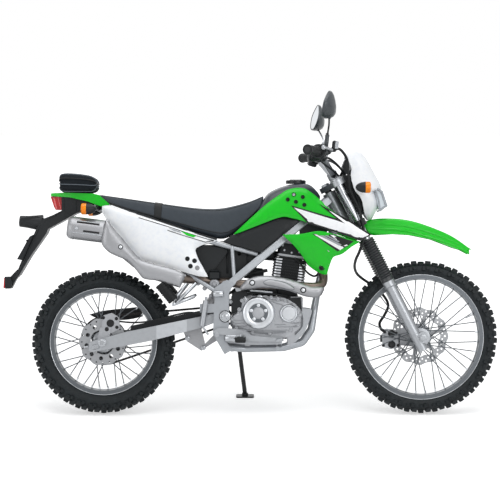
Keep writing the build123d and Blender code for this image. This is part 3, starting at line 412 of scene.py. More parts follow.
def panel(outline, depth, thick, holes=(), step=9.0, sides=SIDES, lift=0.0, form=None):
    """A shaped sheet over an outline. depth(x, z) is how far its outer face lies from the mid-plane."""
    spots, faces = patch(outline, holes, step)
    edges = dict.fromkeys((a, b) for face in faces for a, b in zip(face, face[1:] + face[:1]))
    border = [(a, b) for a, b in edges if (b, a) not in edges]
    form = form or Form()
    for side in sides:
        outer = [(p.x, side * (depth(p.x, p.y) + lift), p.y) for p in spots]
        inner = [(p.x, side * (depth(p.x, p.y) + lift - thick), p.y) for p in spots]
        count = len(spots)
        # the faces of a patch turn so that they look to the right of the bike, at -Y
        skin = [face if side == RIGHT else face[::-1] for face in faces]
        back = [tuple(count + i for i in face[::-1]) for face in skin]
        rim = [(b, a, a + count, b + count)[::1 if side == RIGHT else -1] for a, b in border]
        form.add(outer + inner, skin + back + rim)
    return form


def between(points, at):
    """The value at a place on a line of (place, value) points."""
    if at <= points[0][0]:
        return points[0][1]
    for (a, low), (b, high) in zip(points, points[1:]):
        if at <= b:
            return low + (high - low) * (at - a) / (b - a)
    return points[-1][1]


def sheet(low, high, z_low, z_high, outline, roll, width, crown):
    """The depth of a leaning sheet between two plan lines; its edges roll in and its middle is crowned."""

    def depth(x, z):
        share = max(0.0, min(1.0, (z - z_low) / (z_high - z_low)))
        away = edge_distance(Vector((x, z)), outline)[0]
        return (between(low, x) * (1 - share) + between(high, x) * share
                + crown * (1 - exp(-away / 40)) - roll * exp(-away / width))

    return depth


def upright_sheet(line, outline, roll, width, crown):
    """The depth of a sheet with one plan line from its foot to its top."""
    return sheet(line, line, 0, 1, outline, roll, width, crown)


# ---------------------------------------------------------------- tyres and wheels


def knob(form, at, angle, run_in, out_y, size, height, lean):
    """A tread block on a wheel; lean turns it from the crown (0) towards the side wall."""
    radial, along = turned(angle)
    out = radial * cos(lean) + ACROSS * sin(lean)
    across = ACROSS * cos(lean) - radial * sin(lean)
    foot = out_to(at, out_y) + radial * run_in
    cut = 1.6
    rings = []
    for rise, shrink in ((-4, 1.12), (height * 0.45, 1.0), (height - 1.2, 0.95), (height, 0.84)):
        half_a, half_b = size[0] / 2 * shrink, size[1] / 2 * shrink
        ring = []
        for a, b in ((1, -1), (1, 1), (-1, 1), (-1, -1)):
            first = along * a * half_a + across * b * (half_b - cut)
            second = along * a * (half_a - cut) + across * b * half_b
            ring += [first, second] if a * b > 0 else [second, first]
        rings.append([foot + out * rise + spot for spot in ring])
    form.rings(rings)


def knobbly_tyre(name, at, outer, half, flange, rim_half, body):
    """A casing with centre pairs, shoulder blocks and small blocks on the side wall."""
    crown = outer - 10.5
    wall = crown - flange
    # half of the section, from the bead up to the crown: radius and half width
    halves = [(flange - 12.5, rim_half - 4.8), (flange + 0.5, rim_half - 2.4), (flange + 3, rim_half + 1),
              (flange + 0.16 * wall, half - 11), (flange + 0.34 * wall, half - 6.5),
              (flange + 0.36 * wall, half - 5.5), (flange + 0.42 * wall, half - 5),
              (flange + 0.6 * wall, half - 5), (flange + 0.78 * wall, half - 9),
              (flange + 0.92 * wall, half - 18), (crown, half - 30), (crown + 0.3, 0)]
    profile = [(y, radius) for radius, y in halves] + [(-y, radius) for radius, y in halves[-2::-1]]
    form = Form().lathe(out_to(at, 0), ACROSS, profile, 112, caps=False, loop=True)
    pitches = 33
    for i in range(pitches):
        angle = -pi / 2 + 2 * pi * i / pitches
        later = angle + pi / pitches
        for side in SIDES:
            knob(form, at, angle, crown, side * 10.2, (21, 14), outer - crown, 0)
            knob(form, at, later, crown - 4.5, side * (half - 15), (22, 15), 9.5, side * radians(36))
            knob(form, at, later - 0.035, crown - 22, side * (half - 6.0), (14, 15), 7.0, side * radians(74))
            knob(form, at, angle, crown - 20, side * (half - 5.8), (14, 12), 6.5, side * radians(74))
    piece(name + "_knobs", form, "tyre", body, stands_for=(name,), sharp=28)


knobbly_tyre("front_tyre", FRONT_AXLE, 305, 40, 249, 26, "front_wheel")
knobbly_tyre("rear_tyre", REAR_AXLE, 287, 50, 213, 31, "rear_wheel")


def rim_trim(name, at, flange, rim_half, spokes, body):
    """Spoke nipples in dimples, rolled rim edges and the valve, all in the bright finish; on the rolled edges it
    is a painted highlight along the rim.
    """
    form = Form()
    for i in range(spokes):
        angle = 2 * pi * (i + 0.5) / spokes
        radial = turned(angle)[0]
        side = LEFT if i % 2 else RIGHT
        top = out_to(at, side * 5) + radial * (flange - 19)
        form.rod(top, top - radial * 13 + Vector((0, side * 2.2, 0)), 3.6, 2.6, count=8)
    for side in SIDES:
        # the rolled edges are a bright line against the darkened rim: painted highlight
        bead = [(side * (rim_half - 0.6) + 1.5 * cos(a), flange + 0.2 + 1.3 * sin(a)) for a in turns(8)]
        form.lathe(out_to(at, 0), ACROSS, bead, 112, caps=False, loop=True)
    valve_angle = 0.4
    to_valve = turned(valve_angle)[0]
    form.rod(out_to(at, 0) + to_valve * (flange - 20), out_to(at, 0) + to_valve * (flange - 54), 3, count=10)
    piece(name, form, "bright_edge", body)


rim_trim("front_rim_trim", FRONT_AXLE, 249, 26, 36, "front_wheel")
rim_trim("rear_rim_trim", REAR_AXLE, 213, 31, 36, "rear_wheel")


def ring_of_bolts(form, at, y, side, radius, count, size, phase):
    """Bolts on a circle about a wheel or a cover."""
    for a in turns(count):
        form.bolt(out_to(around(at, radius, phase + a), y), (0, side, 0), size)


wheel_bolts = Form()
ring_of_bolts(wheel_bolts, FRONT_AXLE, 62, LEFT, 46, 4, 6, 0.3)
piece("front_disc_bolts", wheel_bolts, "bright_metal", "front_wheel")
wheel_bolts = Form()
ring_of_bolts(wheel_bolts, REAR_AXLE, -67, RIGHT, 36, 5, 5.5, 0.2)
ring_of_bolts(wheel_bolts, REAR_AXLE, 74, LEFT, 40, 5, 6, 0.2)
piece("rear_hub_bolts", wheel_bolts, "bright_metal", "rear_wheel")

# ---------------------------------------------------------------- seat, tank and bag


def squircle(centre, u, v, half_u, half_v, count, power, bulge):
    """A rounded box outline in the plane of u and v; bulge(v share) scales its width."""
    ring = []
    for a in turns(count):
        x = abs(cos(a)) ** power * (1 if cos(a) >= 0 else -1)
        y = abs(sin(a)) ** power * (1 if sin(a) >= 0 else -1)
        ring.append(Vector(centre) + u * x * (half_u * bulge(y)) + v * y * half_v)
    return ring


def upright_loft(stations, count, power, bulge):
    """A body through rounded boxes given by x, bottom, top and half width."""
    rings = []
    for x, low, high, half in stations:
        centre = (x, 0, (low + high) / 2)
        rings.append(squircle(centre, ACROSS, UP, half, (high - low) / 2, count, power, bulge))
    return Form().rings(rings)


def smoothed(made):
    """Let the stations of a piece flow into one another."""
    modifier = made.modifiers.new("smooth", "SUBSURF")
    modifier.levels = modifier.render_levels = 1


# seat stations: the top and bottom of the mid-plane outline, and the half widths low down and high up
SEAT = [((-668, 875), (-668, 860), 58, 52), ((-640, 872), (-645, 848), 74, 64),
        ((-590, 865), (-594, 828), 88, 76), ((-531, 857), (-535, 807), 95, 80),
        ((-470, 848), (-474, 788), 99, 82), ((-413, 840), (-416, 770), 100, 82),
        ((-350, 831), (-356, 750), 99, 80), ((-290, 823), (-300, 733), 96, 77),
        ((-240, 818), (-248, 716), 92, 72), ((-190, 817), (-200, 702), 88, 67),
        ((-150, 821), (-168, 695), 84, 62), ((-115, 829), (-143, 699), 80, 58),
        ((-80, 838), (-112, 716), 76, 55), ((-50, 847), (-82, 741), 72, 52),
        ((-22, 858), (-46, 776), 69, 49), ((-2, 867), (-14, 812), 66, 47), ((7, 871), (1, 838), 60, 42)]


def seat_ring(top, foot, low, high, grow=0.0):
    """A section of the seat, stood on the line from a foot point to a top point of the mid-plane."""
    top, foot = Vector((top[0], 0, top[1])), Vector((foot[0], 0, foot[1]))
    up = (top - foot).normalized()
    return squircle((top + foot) / 2, ACROSS, up, low + grow, (top - foot).length / 2 + grow * 0.8, 40, 0.42,
                    lambda share: 1 - (1 - high / low) * (share + 1) / 2)


def seat_ring_at(x, grow):
    """A section between the stations, a little larger than the seat."""
    tops, feet, lows, highs = zip(*SEAT)
    places = [place for place, _ in tops]
    return seat_ring((x, between(tops, x)), (x - 3, between(feet, x)), between(list(zip(places, lows)), x),
                     between(list(zip(places, highs)), x), grow)


smoothed(piece("seat_cover_skin", Form().rings([seat_ring(*station) for station in SEAT]), "seat_cover",
               stands_for=("seat",), sharp=70))
strap_edges = ((-428, 0.2), (-427, 2.6), (-400, 2.6), (-399, 0.2))
piece("seat_strap", Form().rings([seat_ring_at(x, grow) for x, grow in strap_edges]), "black_rubber",
      sharp=50)
seams = Form()
# which points of the seat's rings the seams run through: two along the top edges, two low down
for ring_place, radius in ((5, 1.4), (15, 1.4), (22, 1.8), (38, 1.8)):
    seams.tube([seat_ring(*station)[ring_place] for station in SEAT[1:-1]], radius, 6)
piece("seat_seams", seams, "black_rubber", sharp=80)

# tank stations: x, bottom, top and half width
TANK = [(-92, 727, 733, 70), (-60, 727, 757, 84), (-20, 727, 812, 94), (4, 727, 856, 96), (20, 727, 880, 99),
        (45, 727, 894, 102), (88, 735, 912, 104), (130, 766, 918, 104), (168, 800, 920, 90),
        (188, 818, 916, 66), (205, 832, 904, 52), (218, 843, 889, 42), (228, 852, 876, 33),
        (232, 858, 868, 26)]
smoothed(piece("tank_skin", upright_loft(TANK, 40, 0.5, lambda share: 1 - 0.22 * max(0.0, share) ** 2),
               "tank_black", stands_for=("fuel_tank",), sharp=70))
cap = Form().lathe((134, 0, 918), UP, [(0, 40), (9, 41), (13, 40), (14.5, 36), (14.8, 20)], 40)
cap.block((134, 0, 933), (52, 16, 5), edge=2)
piece("tank_cap_flap", cap, "black_metal", stands_for=("fuel_cap",))

# tail bag stations: x, bottom, top and half width; the power squares their corners
BAG_POWER = 0.36
BAG = [(-806, 900, 938, 80), (-804, 890, 950, 90), (-797, 882, 958, 96), (-780, 879, 960, 99),
       (-740, 879, 958, 100), (-700, 879, 953, 99), (-680, 880, 948, 96), (-668, 886, 940, 91),
       (-662, 896, 930, 84), (-660, 902, 924, 76)]


def bag_bulge(share):
    """How wide the bag is at a height, from -1 to 1, against its half width."""
    return 0.94 + 0.07 * (1 - share * share)


smoothed(piece("tail_bag_shell", upright_loft(BAG, 52, BAG_POWER, bag_bulge), "bag_fabric",
               stands_for=("tail_bag",), sharp=70))


def bag_loop(form, height, out, radius):
    """A piping or zip round the bag, at a share of its height."""
    share = 2 * height - 1
    round_off = bag_bulge(share) * (1 - abs(share) ** (2 / BAG_POWER)) ** (BAG_POWER / 2)
    near = [(x, half * round_off + out, low + (high - low) * height) for x, low, high, half in BAG]
    loop = [(near[0][0] - out, 0, near[0][2])] + near + [(near[-1][0] + out, 0, near[-1][2])]
    loop += [(x, -y, z) for x, y, z in near[::-1]]
    return form.tube(curve(loop, 4, closed=True) + [loop[0]], radius, 8)


bands = Form()
for height, out, radius in ((0.93, -0.5, 2.2), (0.42, 0.2, 1.9), (0.08, -0.5, 2.0)):
    bag_loop(bands, height, out, radius)
piece("tail_bag_piping", bands, "bag_edge")
piece("tail_bag_zip", bag_loop(Form(), 0.72, 0.4, 2.6), "black_rubber")

# ---------------------------------------------------------------- body panels


def cups(centres, depth, radius, sunk=9.0):
    """Shallow cups behind the holes of a panel, on both sides."""
    form = Form()
    for side in SIDES:
        for x, z in centres:
            form.lathe((x, side * (depth(x, z) - 3.5), z), (0, -side, 0),
                       [(0, radius), (sunk, radius), (sunk + 1, 0), (sunk - 1, 0), (sunk - 1.5, radius - 1.5),
                        (0, radius - 1.0)], 24, caps=False)
    return form


def hole_lips(centres, depth, radius, thick=1.5):
    """A raised lip round each hole of a panel, on both sides."""
    form = Form()
    for side in SIDES:
        for centre in centres:
            ring = [around(centre, radius, a) for a in turns(28) + [2 * pi]]
            form.tube([(x, side * (depth(x, z) + 0.2), z) for x, z in ring], thick, 8)
    return form


def panel_bolts(form, spots, depth, sunk, radius, height):
    """Bolts through a panel on both sides, sunk below its face."""
    for side in SIDES:
        for x, z in spots:
            form.bolt((x, side * (depth(x, z) - sunk), z), (0, side, 0), radius, height)
    return form


def edge_bead(outline, depth):
    """A rolled bead along the border of a panel."""
    form = Form()
    for side in SIDES:
        line = [(p.x, side * (depth(p.x, p.y) - 1.5), p.y) for p in outline]
        form.tube(line + line[:2], 2.4, 8)
    return form


def lines_on(paths, depth, out, radius):
    """Cords along straight (X, Z) runs on both sides, out from a panel's face."""
    form = Form()
    for side in SIDES:
        for path in paths:
            spots = [(a[0] + (b[0] - a[0]) * t / 6, a[1] + (b[1] - a[1]) * t / 6)
                     for a, b in zip(path, path[1:]) for t in range(7)]
            form.tube([(x, side * (depth(x, z) + out), z) for x, z in spots], radius, 8)
    return form


def decals(depth, *films):
    """Printed films on a panel: (name, finish, how far it stands out, outline)."""
    for name, finish, lift, outline in films:
        form = panel([Vector(point) for point in outline], depth, 0.8, step=10.0, lift=lift)
        piece(name, form, finish)


UPPER = outline_of([(-111, 716), (5, 823), (69, 870), (108, 892), (159, 896), (198, 874), (236, 840),
                    (253, 821), (328, 771), (420, 714)], [(420, 714), (385, 693)],
                   [(382, 695), (180, 763), (120, 780), (73, 785), (-12, 755), (-111, 716)])
upper_depth = sheet([(-130, 112), (5, 124), (120, 146), (250, 170), (340, 186), (430, 192)],
                    [(-130, 88), (5, 100), (120, 108), (250, 124), (340, 144), (430, 168)], 690, 896,
                    UPPER, roll=5, width=7, crown=4)
UPPER_HOLES = [(100, 852), (132, 843), (159, 862), (165, 831), (124, 872)]
piece("upper_shroud_skin", panel(UPPER, upper_depth, 4, [ring_points(at, 9) for at in UPPER_HOLES], 8),
      "green_plastic", stands_for=("tank_shrouds",), sharp=45)
piece("upper_shroud_bead", edge_bead(UPPER, upper_depth), "green_plastic")
piece("shroud_hole_cups", cups(UPPER_HOLES, upper_depth, 10.2), "black_plastic")
piece("shroud_hole_lips", hole_lips(UPPER_HOLES, upper_depth, 9.6), "green_plastic")
piece("shroud_screws", panel_bolts(Form(), [(124, 872)], upper_depth, 8, 6.5, 5), "bright_metal")

# the bare band of two blades along the upper shroud, with its black border
decals(upper_depth,
       ("shroud_band_border", "decal_black", 1.4,
        [(112, 829), (179, 758), (291, 722), (383, 689), (428, 713), (338, 772), (222, 835), (292, 777)]),
       ("shroud_band", "decal_white", 2.4,
        [(124, 821), (181, 764), (291, 729), (382, 696), (419, 713), (337, 765), (246, 821), (324, 757),
         (291, 769)]))

LOWER = outline_of([(82, 712), (150, 714), (218, 725), (270, 716), (355, 690), (381, 686)],
                   [(381, 686), (350, 668), (312, 639), (278, 626), (262, 590), (253, 558)],
                   [(253, 558), (231, 562), (184, 596), (150, 643), (116, 682), (82, 712)])
lower_depth = sheet([(60, 96), (120, 104), (200, 118), (260, 132), (320, 158), (400, 186)],
                    [(60, 130), (120, 142), (200, 156), (260, 168), (320, 178), (400, 186)], 550, 730,
                    LOWER, roll=5, width=7, crown=4)
piece("lower_shroud_skin", panel(LOWER, lower_depth, 4, [ring_points((234, 583), 7)], 8), "green_plastic",
      stands_for=("lower_shrouds",), sharp=45)
piece("lower_shroud_bead", edge_bead(LOWER, lower_depth), "green_plastic")
lower_bolts = panel_bolts(cups([(234, 583)], lower_depth, 8, 5), [(234, 583)], lower_depth, 4, 5.5, 4)
for side in SIDES:
    lower_bolts.lathe((234, side * lower_depth(234, 583), 583), (0, side, 0),
                      [(-1, 7), (-1, 11.5), (1.2, 11.5), (1.2, 7.5)], 24, caps=False, loop=True)
piece("lower_shroud_bolts", lower_bolts, "black_metal")
decals(lower_depth,
       ("lower_shroud_slash", "decal_black", 1.4,
        [(196, 716), (276, 714), (358, 686), (332, 667), (295, 647)]),
       ("lower_shroud_stripe_a", "decal_white", 2.4, [(203, 714), (212, 714), (320, 663), (305, 652)]),
       ("lower_shroud_stripe_b", "decal_grey", 2.4, [(221, 711), (240, 710), (311, 674), (301, 670)]),
       ("lower_shroud_stripe_c", "decal_white", 2.4, [(266, 712), (280, 711), (335, 671), (324, 667)]),
       ("lower_shroud_stripe_d", "decal_grey", 2.6, [(244, 711), (254, 711), (303, 687), (297, 683)]))

SIDE = outline_of([(-634, 825), (-605, 827), (-560, 812), (-482, 789), (-370, 752), (-290, 725), (-215, 701),
                   (-182, 690)],
                  [(-182, 690), (-205, 684), (-240, 674), (-263, 662)],
                  [(-265, 660), (-267, 648), (-256, 617), (-238, 584), (-218, 548)],
                  [(-218, 548), (-250, 551), (-288, 561), (-338, 576), (-400, 594), (-464, 611), (-489, 624)],
                  [(-489, 624), (-530, 672), (-575, 728), (-615, 775), (-636, 806)])
side_depth = sheet([(-640, 150), (-489, 146), (-340, 134), (-260, 124), (-180, 112)],
                   [(-640, 102), (-489, 106), (-340, 106), (-260, 104), (-180, 100)], 545, 830,
                   SIDE, roll=5, width=7, crown=3)
SIDE_HOLES = [(-297, 618), (-269, 610), (-285, 589)]
piece("side_panel_skin",
      panel(SIDE, side_depth, 4, [ring_points(at, 9.5) for at in SIDE_HOLES + [(-258, 582)]], 9),
      "white_plastic", stands_for=("side_panels",), sharp=45)
piece("side_panel_bead", edge_bead(SIDE, side_depth), "white_plastic")
piece("side_hole_cups", cups(SIDE_HOLES, side_depth, 10.6), "black_plastic")
side_screws = panel_bolts(Form(), [(-258, 582)], side_depth, 4, 5, 4)
for side in SIDES:
    side_screws.lathe((-258, side * (side_depth(-258, 582) - 4), 582), (0, side, 0),
                      [(-2, 9.4), (1.5, 9.4), (2.5, 8.6), (2.5, 6.5), (0.5, 6.2)], 28)
piece("side_panel_screws", side_screws, "satin_steel")
stripe_paths = ([(-490, 781), (-370, 744), (-290, 718), (-215, 695), (-192, 690)],
                [(-376, 731), (-300, 706), (-226, 684), (-192, 690)])
piece("side_stripe_lines", lines_on(stripe_paths, side_depth, 0.2, 1.5), "decal_black")
decals(side_depth,
       ("side_stripe_patch", "green_plastic", 1.4,
        [(-322, 727), (-300, 722), (-262, 708), (-274, 703), (-300, 711)]),
       ("side_stripe_grey", "decal_grey", 1.4, [(-372, 740), (-328, 727), (-322, 721), (-350, 729)]))

COVER = outline_of([(-159, 686), (-135, 702), (-111, 716), (-12, 755), (40, 778), (73, 785), (120, 780),
                    (147, 770)], [(147, 770), (5, 655)],
                   [(5, 655), (0, 646), (-8, 643), (-40, 652), (-159, 686)])
cover_depth = sheet([(-170, 100), (0, 108), (160, 116)], [(-170, 96), (0, 102), (160, 110)], 640, 790,
                    COVER, roll=4, width=6, crown=4)
piece("tank_cover_skin", panel(COVER, cover_depth, 4), "black_plastic", stands_for=("tank_side_covers",),
      sharp=45)
INNER = outline_of([(-118, 694), (-60, 722), (10, 746), (80, 758), (112, 752)], [(112, 752), (0, 668)],
                   [(0, 668), (-14, 662), (-118, 694)])
inner_depth = sheet([(-170, 103), (0, 111), (160, 119)], [(-170, 99), (0, 105), (160, 113)], 640, 790,
                    INNER, roll=3, width=4, crown=2)
piece("tank_cover_raise", panel(INNER, inner_depth, 4), "black_plastic", sharp=45)
piece("tank_cover_bolts", panel_bolts(Form(), [(-96, 712), (60, 770)], cover_depth, 0.5, 5, 3), "black_metal")

# ---------------------------------------------------------------- headlight cowl

# cowl stations: height, x of the rear edges at the sides, x of the front on the mid-plane, half width
COWL = [(773, 421, 436, 50), (786, 412, 444, 74), (800, 404, 452, 88), (822, 400, 464, 96),
        (843, 396, 466, 104), (866, 386, 458, 109), (886, 367, 452, 112), (893, 364, 476, 111),
        (900, 361, 479, 110), (912, 358, 474, 109), (928, 353, 467, 106), (952, 350, 453, 101),
        (977, 354, 440, 94), (1000, 345, 428, 89), (1022, 330, 415, 84), (1036, 334, 404, 80),
        (1043, 344, 396, 76)]


def cowl_ring(z, rear, front, half):
    """A level section of the cowl: its outer wall from side to side, then its inner wall back again."""
    outer, inner = [], []
    thick, steps = 4.0, 24
    for i in range(steps + 1):
        a = -pi / 2 + pi * i / steps
        share_x, share_y = max(0.0, cos(a)) ** 0.62, (1 if a > 0 else -1) * abs(sin(a)) ** 0.85
        outer.append((rear + (front - rear) * share_x, half * share_y, z))
        inner.append((rear + (front - thick - rear) * share_x, (half - thick) * share_y, z))
    return outer + inner[::-1]


piece("cowl_shell", Form().rings([cowl_ring(*station) for station in COWL]), "white_plastic", "steering",
      stands_for=("headlight_cowl",), sharp=55)

# ---------------------------------------------------------------- engine and exhaust

GUARD = outline_of([(-83, 494), (-88, 506), (-78, 520), (-65, 534), (-45, 543), (-23, 549), (21, 552),
                    (69, 546), (109, 538), (170, 518), (198, 510), (236, 508), (243, 500), (239, 488),
                    (230, 473), (214, 467), (190, 466), (160, 472), (109, 490), (57, 500), (-3, 503),
                    (-51, 498), (-83, 494)])
guard_depth = upright_sheet([(-90, 162), (240, 162)], GUARD, roll=16, width=11, crown=6)
guards = panel(GUARD, guard_depth, 3, (), 7, sides=(RIGHT,))
SHIELD = outline_of([(-614, 775), (-628, 730), (-633, 690), (-626, 668), (-601, 643), (-566, 626),
                     (-532, 611), (-501, 580), (-482, 556), (-469, 542), (-445, 536), (-419, 533),
                     (-370, 518), (-324, 504)], [(-324, 504), (-312, 530), (-300, 555)],
                    [(-300, 555), (-337, 574), (-400, 592), (-463, 609), (-487, 622)],
                    [(-487, 622), (-550, 698), (-614, 775)])
shield_depth = upright_sheet([(-640, 205), (-300, 196)], SHIELD, roll=14, width=8, crown=3)
panel(SHIELD, shield_depth, 3, (), 8, sides=(RIGHT,), form=guards)
for x, z, high in ((20, 515, 158), (170, 500, 158), (-382, 553, 196), (-600, 712, 198)):
    guards.rod((x, -140, z), (x, -high, z), 8)
piece("exhaust_shields", guards, "satin_steel", stands_for=("exhaust_guards",), sharp=50)
RIB = outline_of([(3, 526), (16, 533), (37, 535), (89, 524), (121, 506), (119, 497), (100, 498), (77, 504),
                  (40, 512), (14, 516), (3, 526)])[:-1]
rib_depth = upright_sheet([(-90, 169.5), (240, 169)], RIB, roll=4, width=3, crown=1)
ribs = panel(RIB, rib_depth, 3, (), 5, sides=(RIGHT,))
piece("header_guard_rib", ribs, "satin_steel", sharp=60)
# a dark line round the foot of the rib, in the darkened rim colour: painted shade of its crease
painted_groove_shade = [(p.x, -(guard_depth(p.x, p.y) + 0.3), p.y) for p in RIB]
piece("header_guard_painted_groove_shade", Form().tube(painted_groove_shade + painted_groove_shade[:1], 2.0, 8), "rim_aluminium")
shield_bolts, washers = Form(), Form()
LARGE_WASHER = [(-1, 12), (1.5, 12), (2, 10.5), (2, 4)]
SMALL_WASHER = [(-1, 10), (1.2, 10), (1.8, 9), (1.8, 4)]
for x, z, depth, washer, count, radius, height in (
        (-41, 524, guard_depth, LARGE_WASHER, 28, 6, 4), (160, 495, guard_depth, LARGE_WASHER, 28, 6, 4),
        (-556, 665, shield_depth, SMALL_WASHER, 24, 5, 3.5)):
    washers.lathe((x, -depth(x, z), z), OUT_RIGHT, washer, count)
    shield_bolts.nut((x, -depth(x, z) - 1, z), OUT_RIGHT, radius, height)
piece("shield_bolts", shield_bolts, "bright_edge")
piece("shield_washers", washers, "black_metal")

CLUTCH_AT, SMALL_COVER_AT = (-16, 404), (104, 402)
CASE = outline_of([(-128, 367), (-127, 378), (-124, 388), (-100, 405), (-83, 420), (-75, 455)],
                  [(-75, 464), (-50, 470), (18, 472)], [(18, 472), (38, 462), (86, 460)],
                  [(86, 460), (111, 448), (132, 433), (147, 416), (154, 396), (151, 367), (143, 352),
                   (131, 343)], [(131, 343), (112, 329), (90, 319)],
                  [(90, 319), (30, 315), (-27, 318), (-83, 330)],
                  [(-83, 330), (-110, 340), (-126, 352), (-128, 367)])
case_depth = upright_sheet([(-130, 100), (160, 100)], CASE, roll=7, width=5, crown=2)
cover = panel(CASE, case_depth, 9, (), 8, sides=(RIGHT,))
bright = Form().lathe(out_to(CLUTCH_AT, -95), OUT_RIGHT,
                      [(0, 67), (4, 65), (24, 64), (31, 61.5), (34.5, 57), (35.5, 51), (34.5, 43),
                       (33, 39), (28, 37.8), (27, 36)], 64, caps=False)
cover.lathe(out_to(CLUTCH_AT, -95), OUT_RIGHT,
            [(30, 39), (31.8, 38.5), (31.8, 23), (31.4, 21.5), (33.5, 20.5), (34.2, 18), (33.4, 3)], 64)
bright.lathe(out_to(SMALL_COVER_AT, -95), OUT_RIGHT,
             [(0, 37), (6, 36), (15, 35), (19, 33), (20, 31), (19.2, 29.2), (17, 28.4), (17, 27), (19.2, 26),
              (19.6, 20), (19.6, 2)], 48)
piece("cover_rings", bright, "bright_edge", sharp=32)
for x_low, x_high, z in ((-116, -70, 374), (-120, -72, 363), (-112, -64, 352), (48, 92, 357), (112, 148, 363),
                         (56, 136, 348), (-70, 100, 334), (-60, 92, 326)):
    cover.block(((x_low + x_high) / 2, -101.5, z), (x_high - x_low, 5, 3.2), edge=1)
cover.block((62, -101, 440), (60, 5, 3.2), axes=tilted(0.35), edge=1)
CASE_BOLTS = [(-119, 378), (-92, 417), (-81, 452), (34, 464), (62, 458), (90, 452), (134, 424), (148, 396),
              (141, 358), (112, 336), (30, 321), (-40, 324), (-104, 343)]
for x, z in CASE_BOLTS:
    cover.lathe((x, -92, z), OUT_RIGHT, [(0, 9), (8.5, 8.2), (9.6, 7)], 20)
piece("clutch_cover", cover, "engine_silver", sharp=32)
case_bolts = Form().nuts(CASE_BOLTS, -100.5, 4.2, 3.5)
ring_of_bolts(case_bolts, CLUTCH_AT, -126.5, RIGHT, 29.4, 5, 4.6, pi / 2)
case_bolts.nuts([around(SMALL_COVER_AT, 38, a) for a in (0.5, -0.45, -2.2)], -101, 3.6, 3.5)
piece("case_bolts", case_bolts, "bright_metal")
oil = Form().lathe((-11, -92, 461), OUT_RIGHT,
                   [(0, 15), (10, 15), (11, 14.5), (17, 13), (18, 11), (18.6, 2)], 28)
oil.block((-11, -111, 461), (22, 4, 5), edge=1)
piece("oil_filler_cap", oil, "bright_edge")

# fins with bright machined ends, and the head above them
BARREL_TILT = radians(8)
ALONG_BARREL, UP_BARREL = turned(-BARREL_TILT)


def barrel(x, y, z):
    """A point in the cylinder's own axes: forward, left and up along its bore."""
    return Vector((92, 0, 468)) + ALONG_BARREL * x + ACROSS * y + UP_BARREL * z


def fin_end(side, start):
    """The rounded end of a fin, from a cut at start to its tip."""
    reach, half, corner, steps = 67.4, 62.4, 22, 6
    line = [(start, -half)]
    for i in range(steps + 1):
        a = -pi / 2 + pi / 2 * i / steps
        line.append((reach - corner + corner * cos(a), -half + corner + corner * sin(a)))
    line += [(x, -y) for x, y in line[::-1]]
    return [(side * x, y) for x, y in line]


def eight_sided(x_half, y_half, cut):
    """A box outline with cut corners."""
    quarter = [(x_half - cut, -y_half), (x_half, -y_half + cut), (x_half, y_half - cut),
               (x_half - cut, y_half)]
    return quarter + [(-x, -y) for x, y in quarter]


fins = Form()
# eight fins show their ends at the rear and seven at the front
for side, start, count in ((-1, 33, 8), (1, 38, 7)):
    for low in [64.7 + i * 11 for i in range(count)]:
        fins.rings([[barrel(x, y, z) for x, y in fin_end(side, start)] for z in (low, low + 5.6)])
piece("fin_ends", fins, "bright_edge", sharp=30, smooth=False)
head, head_bolts = Form(), Form()
for low, high, x_half, y_half in (
        (156, 168, 57, 51), (168, 196, 54, 48), (196, 210, 50, 45), (210, 226, 43, 39)):
    head.rings([[barrel(x, y, z) for x, y in eight_sided(x_half, y_half, 6)] for z in (low, high - 1.5)])
for x, y in ((-40, -44), (40, -44), (-40, 44), (40, 44)):
    head.lathe(barrel(x, y, 196), UP_BARREL, [(0, 8), (16, 7.5), (18, 6)], 18)
    head_bolts.nut(barrel(x, y, 214), UP_BARREL, 5, 5)
piece("cylinder_head", head, "engine_silver", sharp=30)
for x, z in ((-30, 182), (30, 182), (0, 176)):
    head_bolts.nut(barrel(x, -48, z), -ACROSS, 5, 5)
piece("head_bolts", head_bolts, "bright_metal")
lead = Form()
lead.bent([barrel(*spot) for spot in ((18, -52, 150), (36, -66, 142), (70, -74, 108), (104, -62, 96),
                                      (120, -40, 122), (116, -20, 160))], 4)
lead.rod(barrel(14, -48, 154), barrel(26, -60, 146), 7)
lead.bent([(-150, -60, 470), (-120, -72, 486), (-84, -76, 488), (-40, -78, 492), (10, -80, 486)], 6)
lead.bent([(-140, -58, 430), (-104, -74, 452), (-84, -84, 468), (-30, -86, 482), (30, -84, 478),
           (76, -80, 472), (110, -70, 462)], 5)
lead.bent([(-128, -50, 520), (-96, -60, 545), (-40, -64, 560), (20, -62, 572)], 7)
piece("engine_hoses", lead, "black_rubber")
vent = Form().bent([(-88, -78, 476), (-70, -92, 470), (-60, -96, 452), (-30, -100, 462)], 4.5)
vent.rod((-96, -80, 497), (-96, -98, 497), 12)
vent.rod((-50, -88, 492), (40, -88, 484), 4)
piece("engine_pipes", vent, "bright_metal")

# brackets that carry the engine, and the dark parts behind them
plates = Form()
BRACKET = outline_of([(150, 421), (176, 420), (196, 414), (190, 386), (182, 360), (166, 326), (140, 296),
                      (108, 266)], [(108, 266), (94, 272), (112, 300), (140, 324), (160, 352), (162, 390)],
                     [(150, 421), (150, 421.5), (150, 421)])[:-6]
for side in SIDES:
    panel(BRACKET, flat(87.0), 5, (), 8, sides=(side,), form=plates)
piece("engine_brackets", plates, "satin_aluminium", sharp=30)

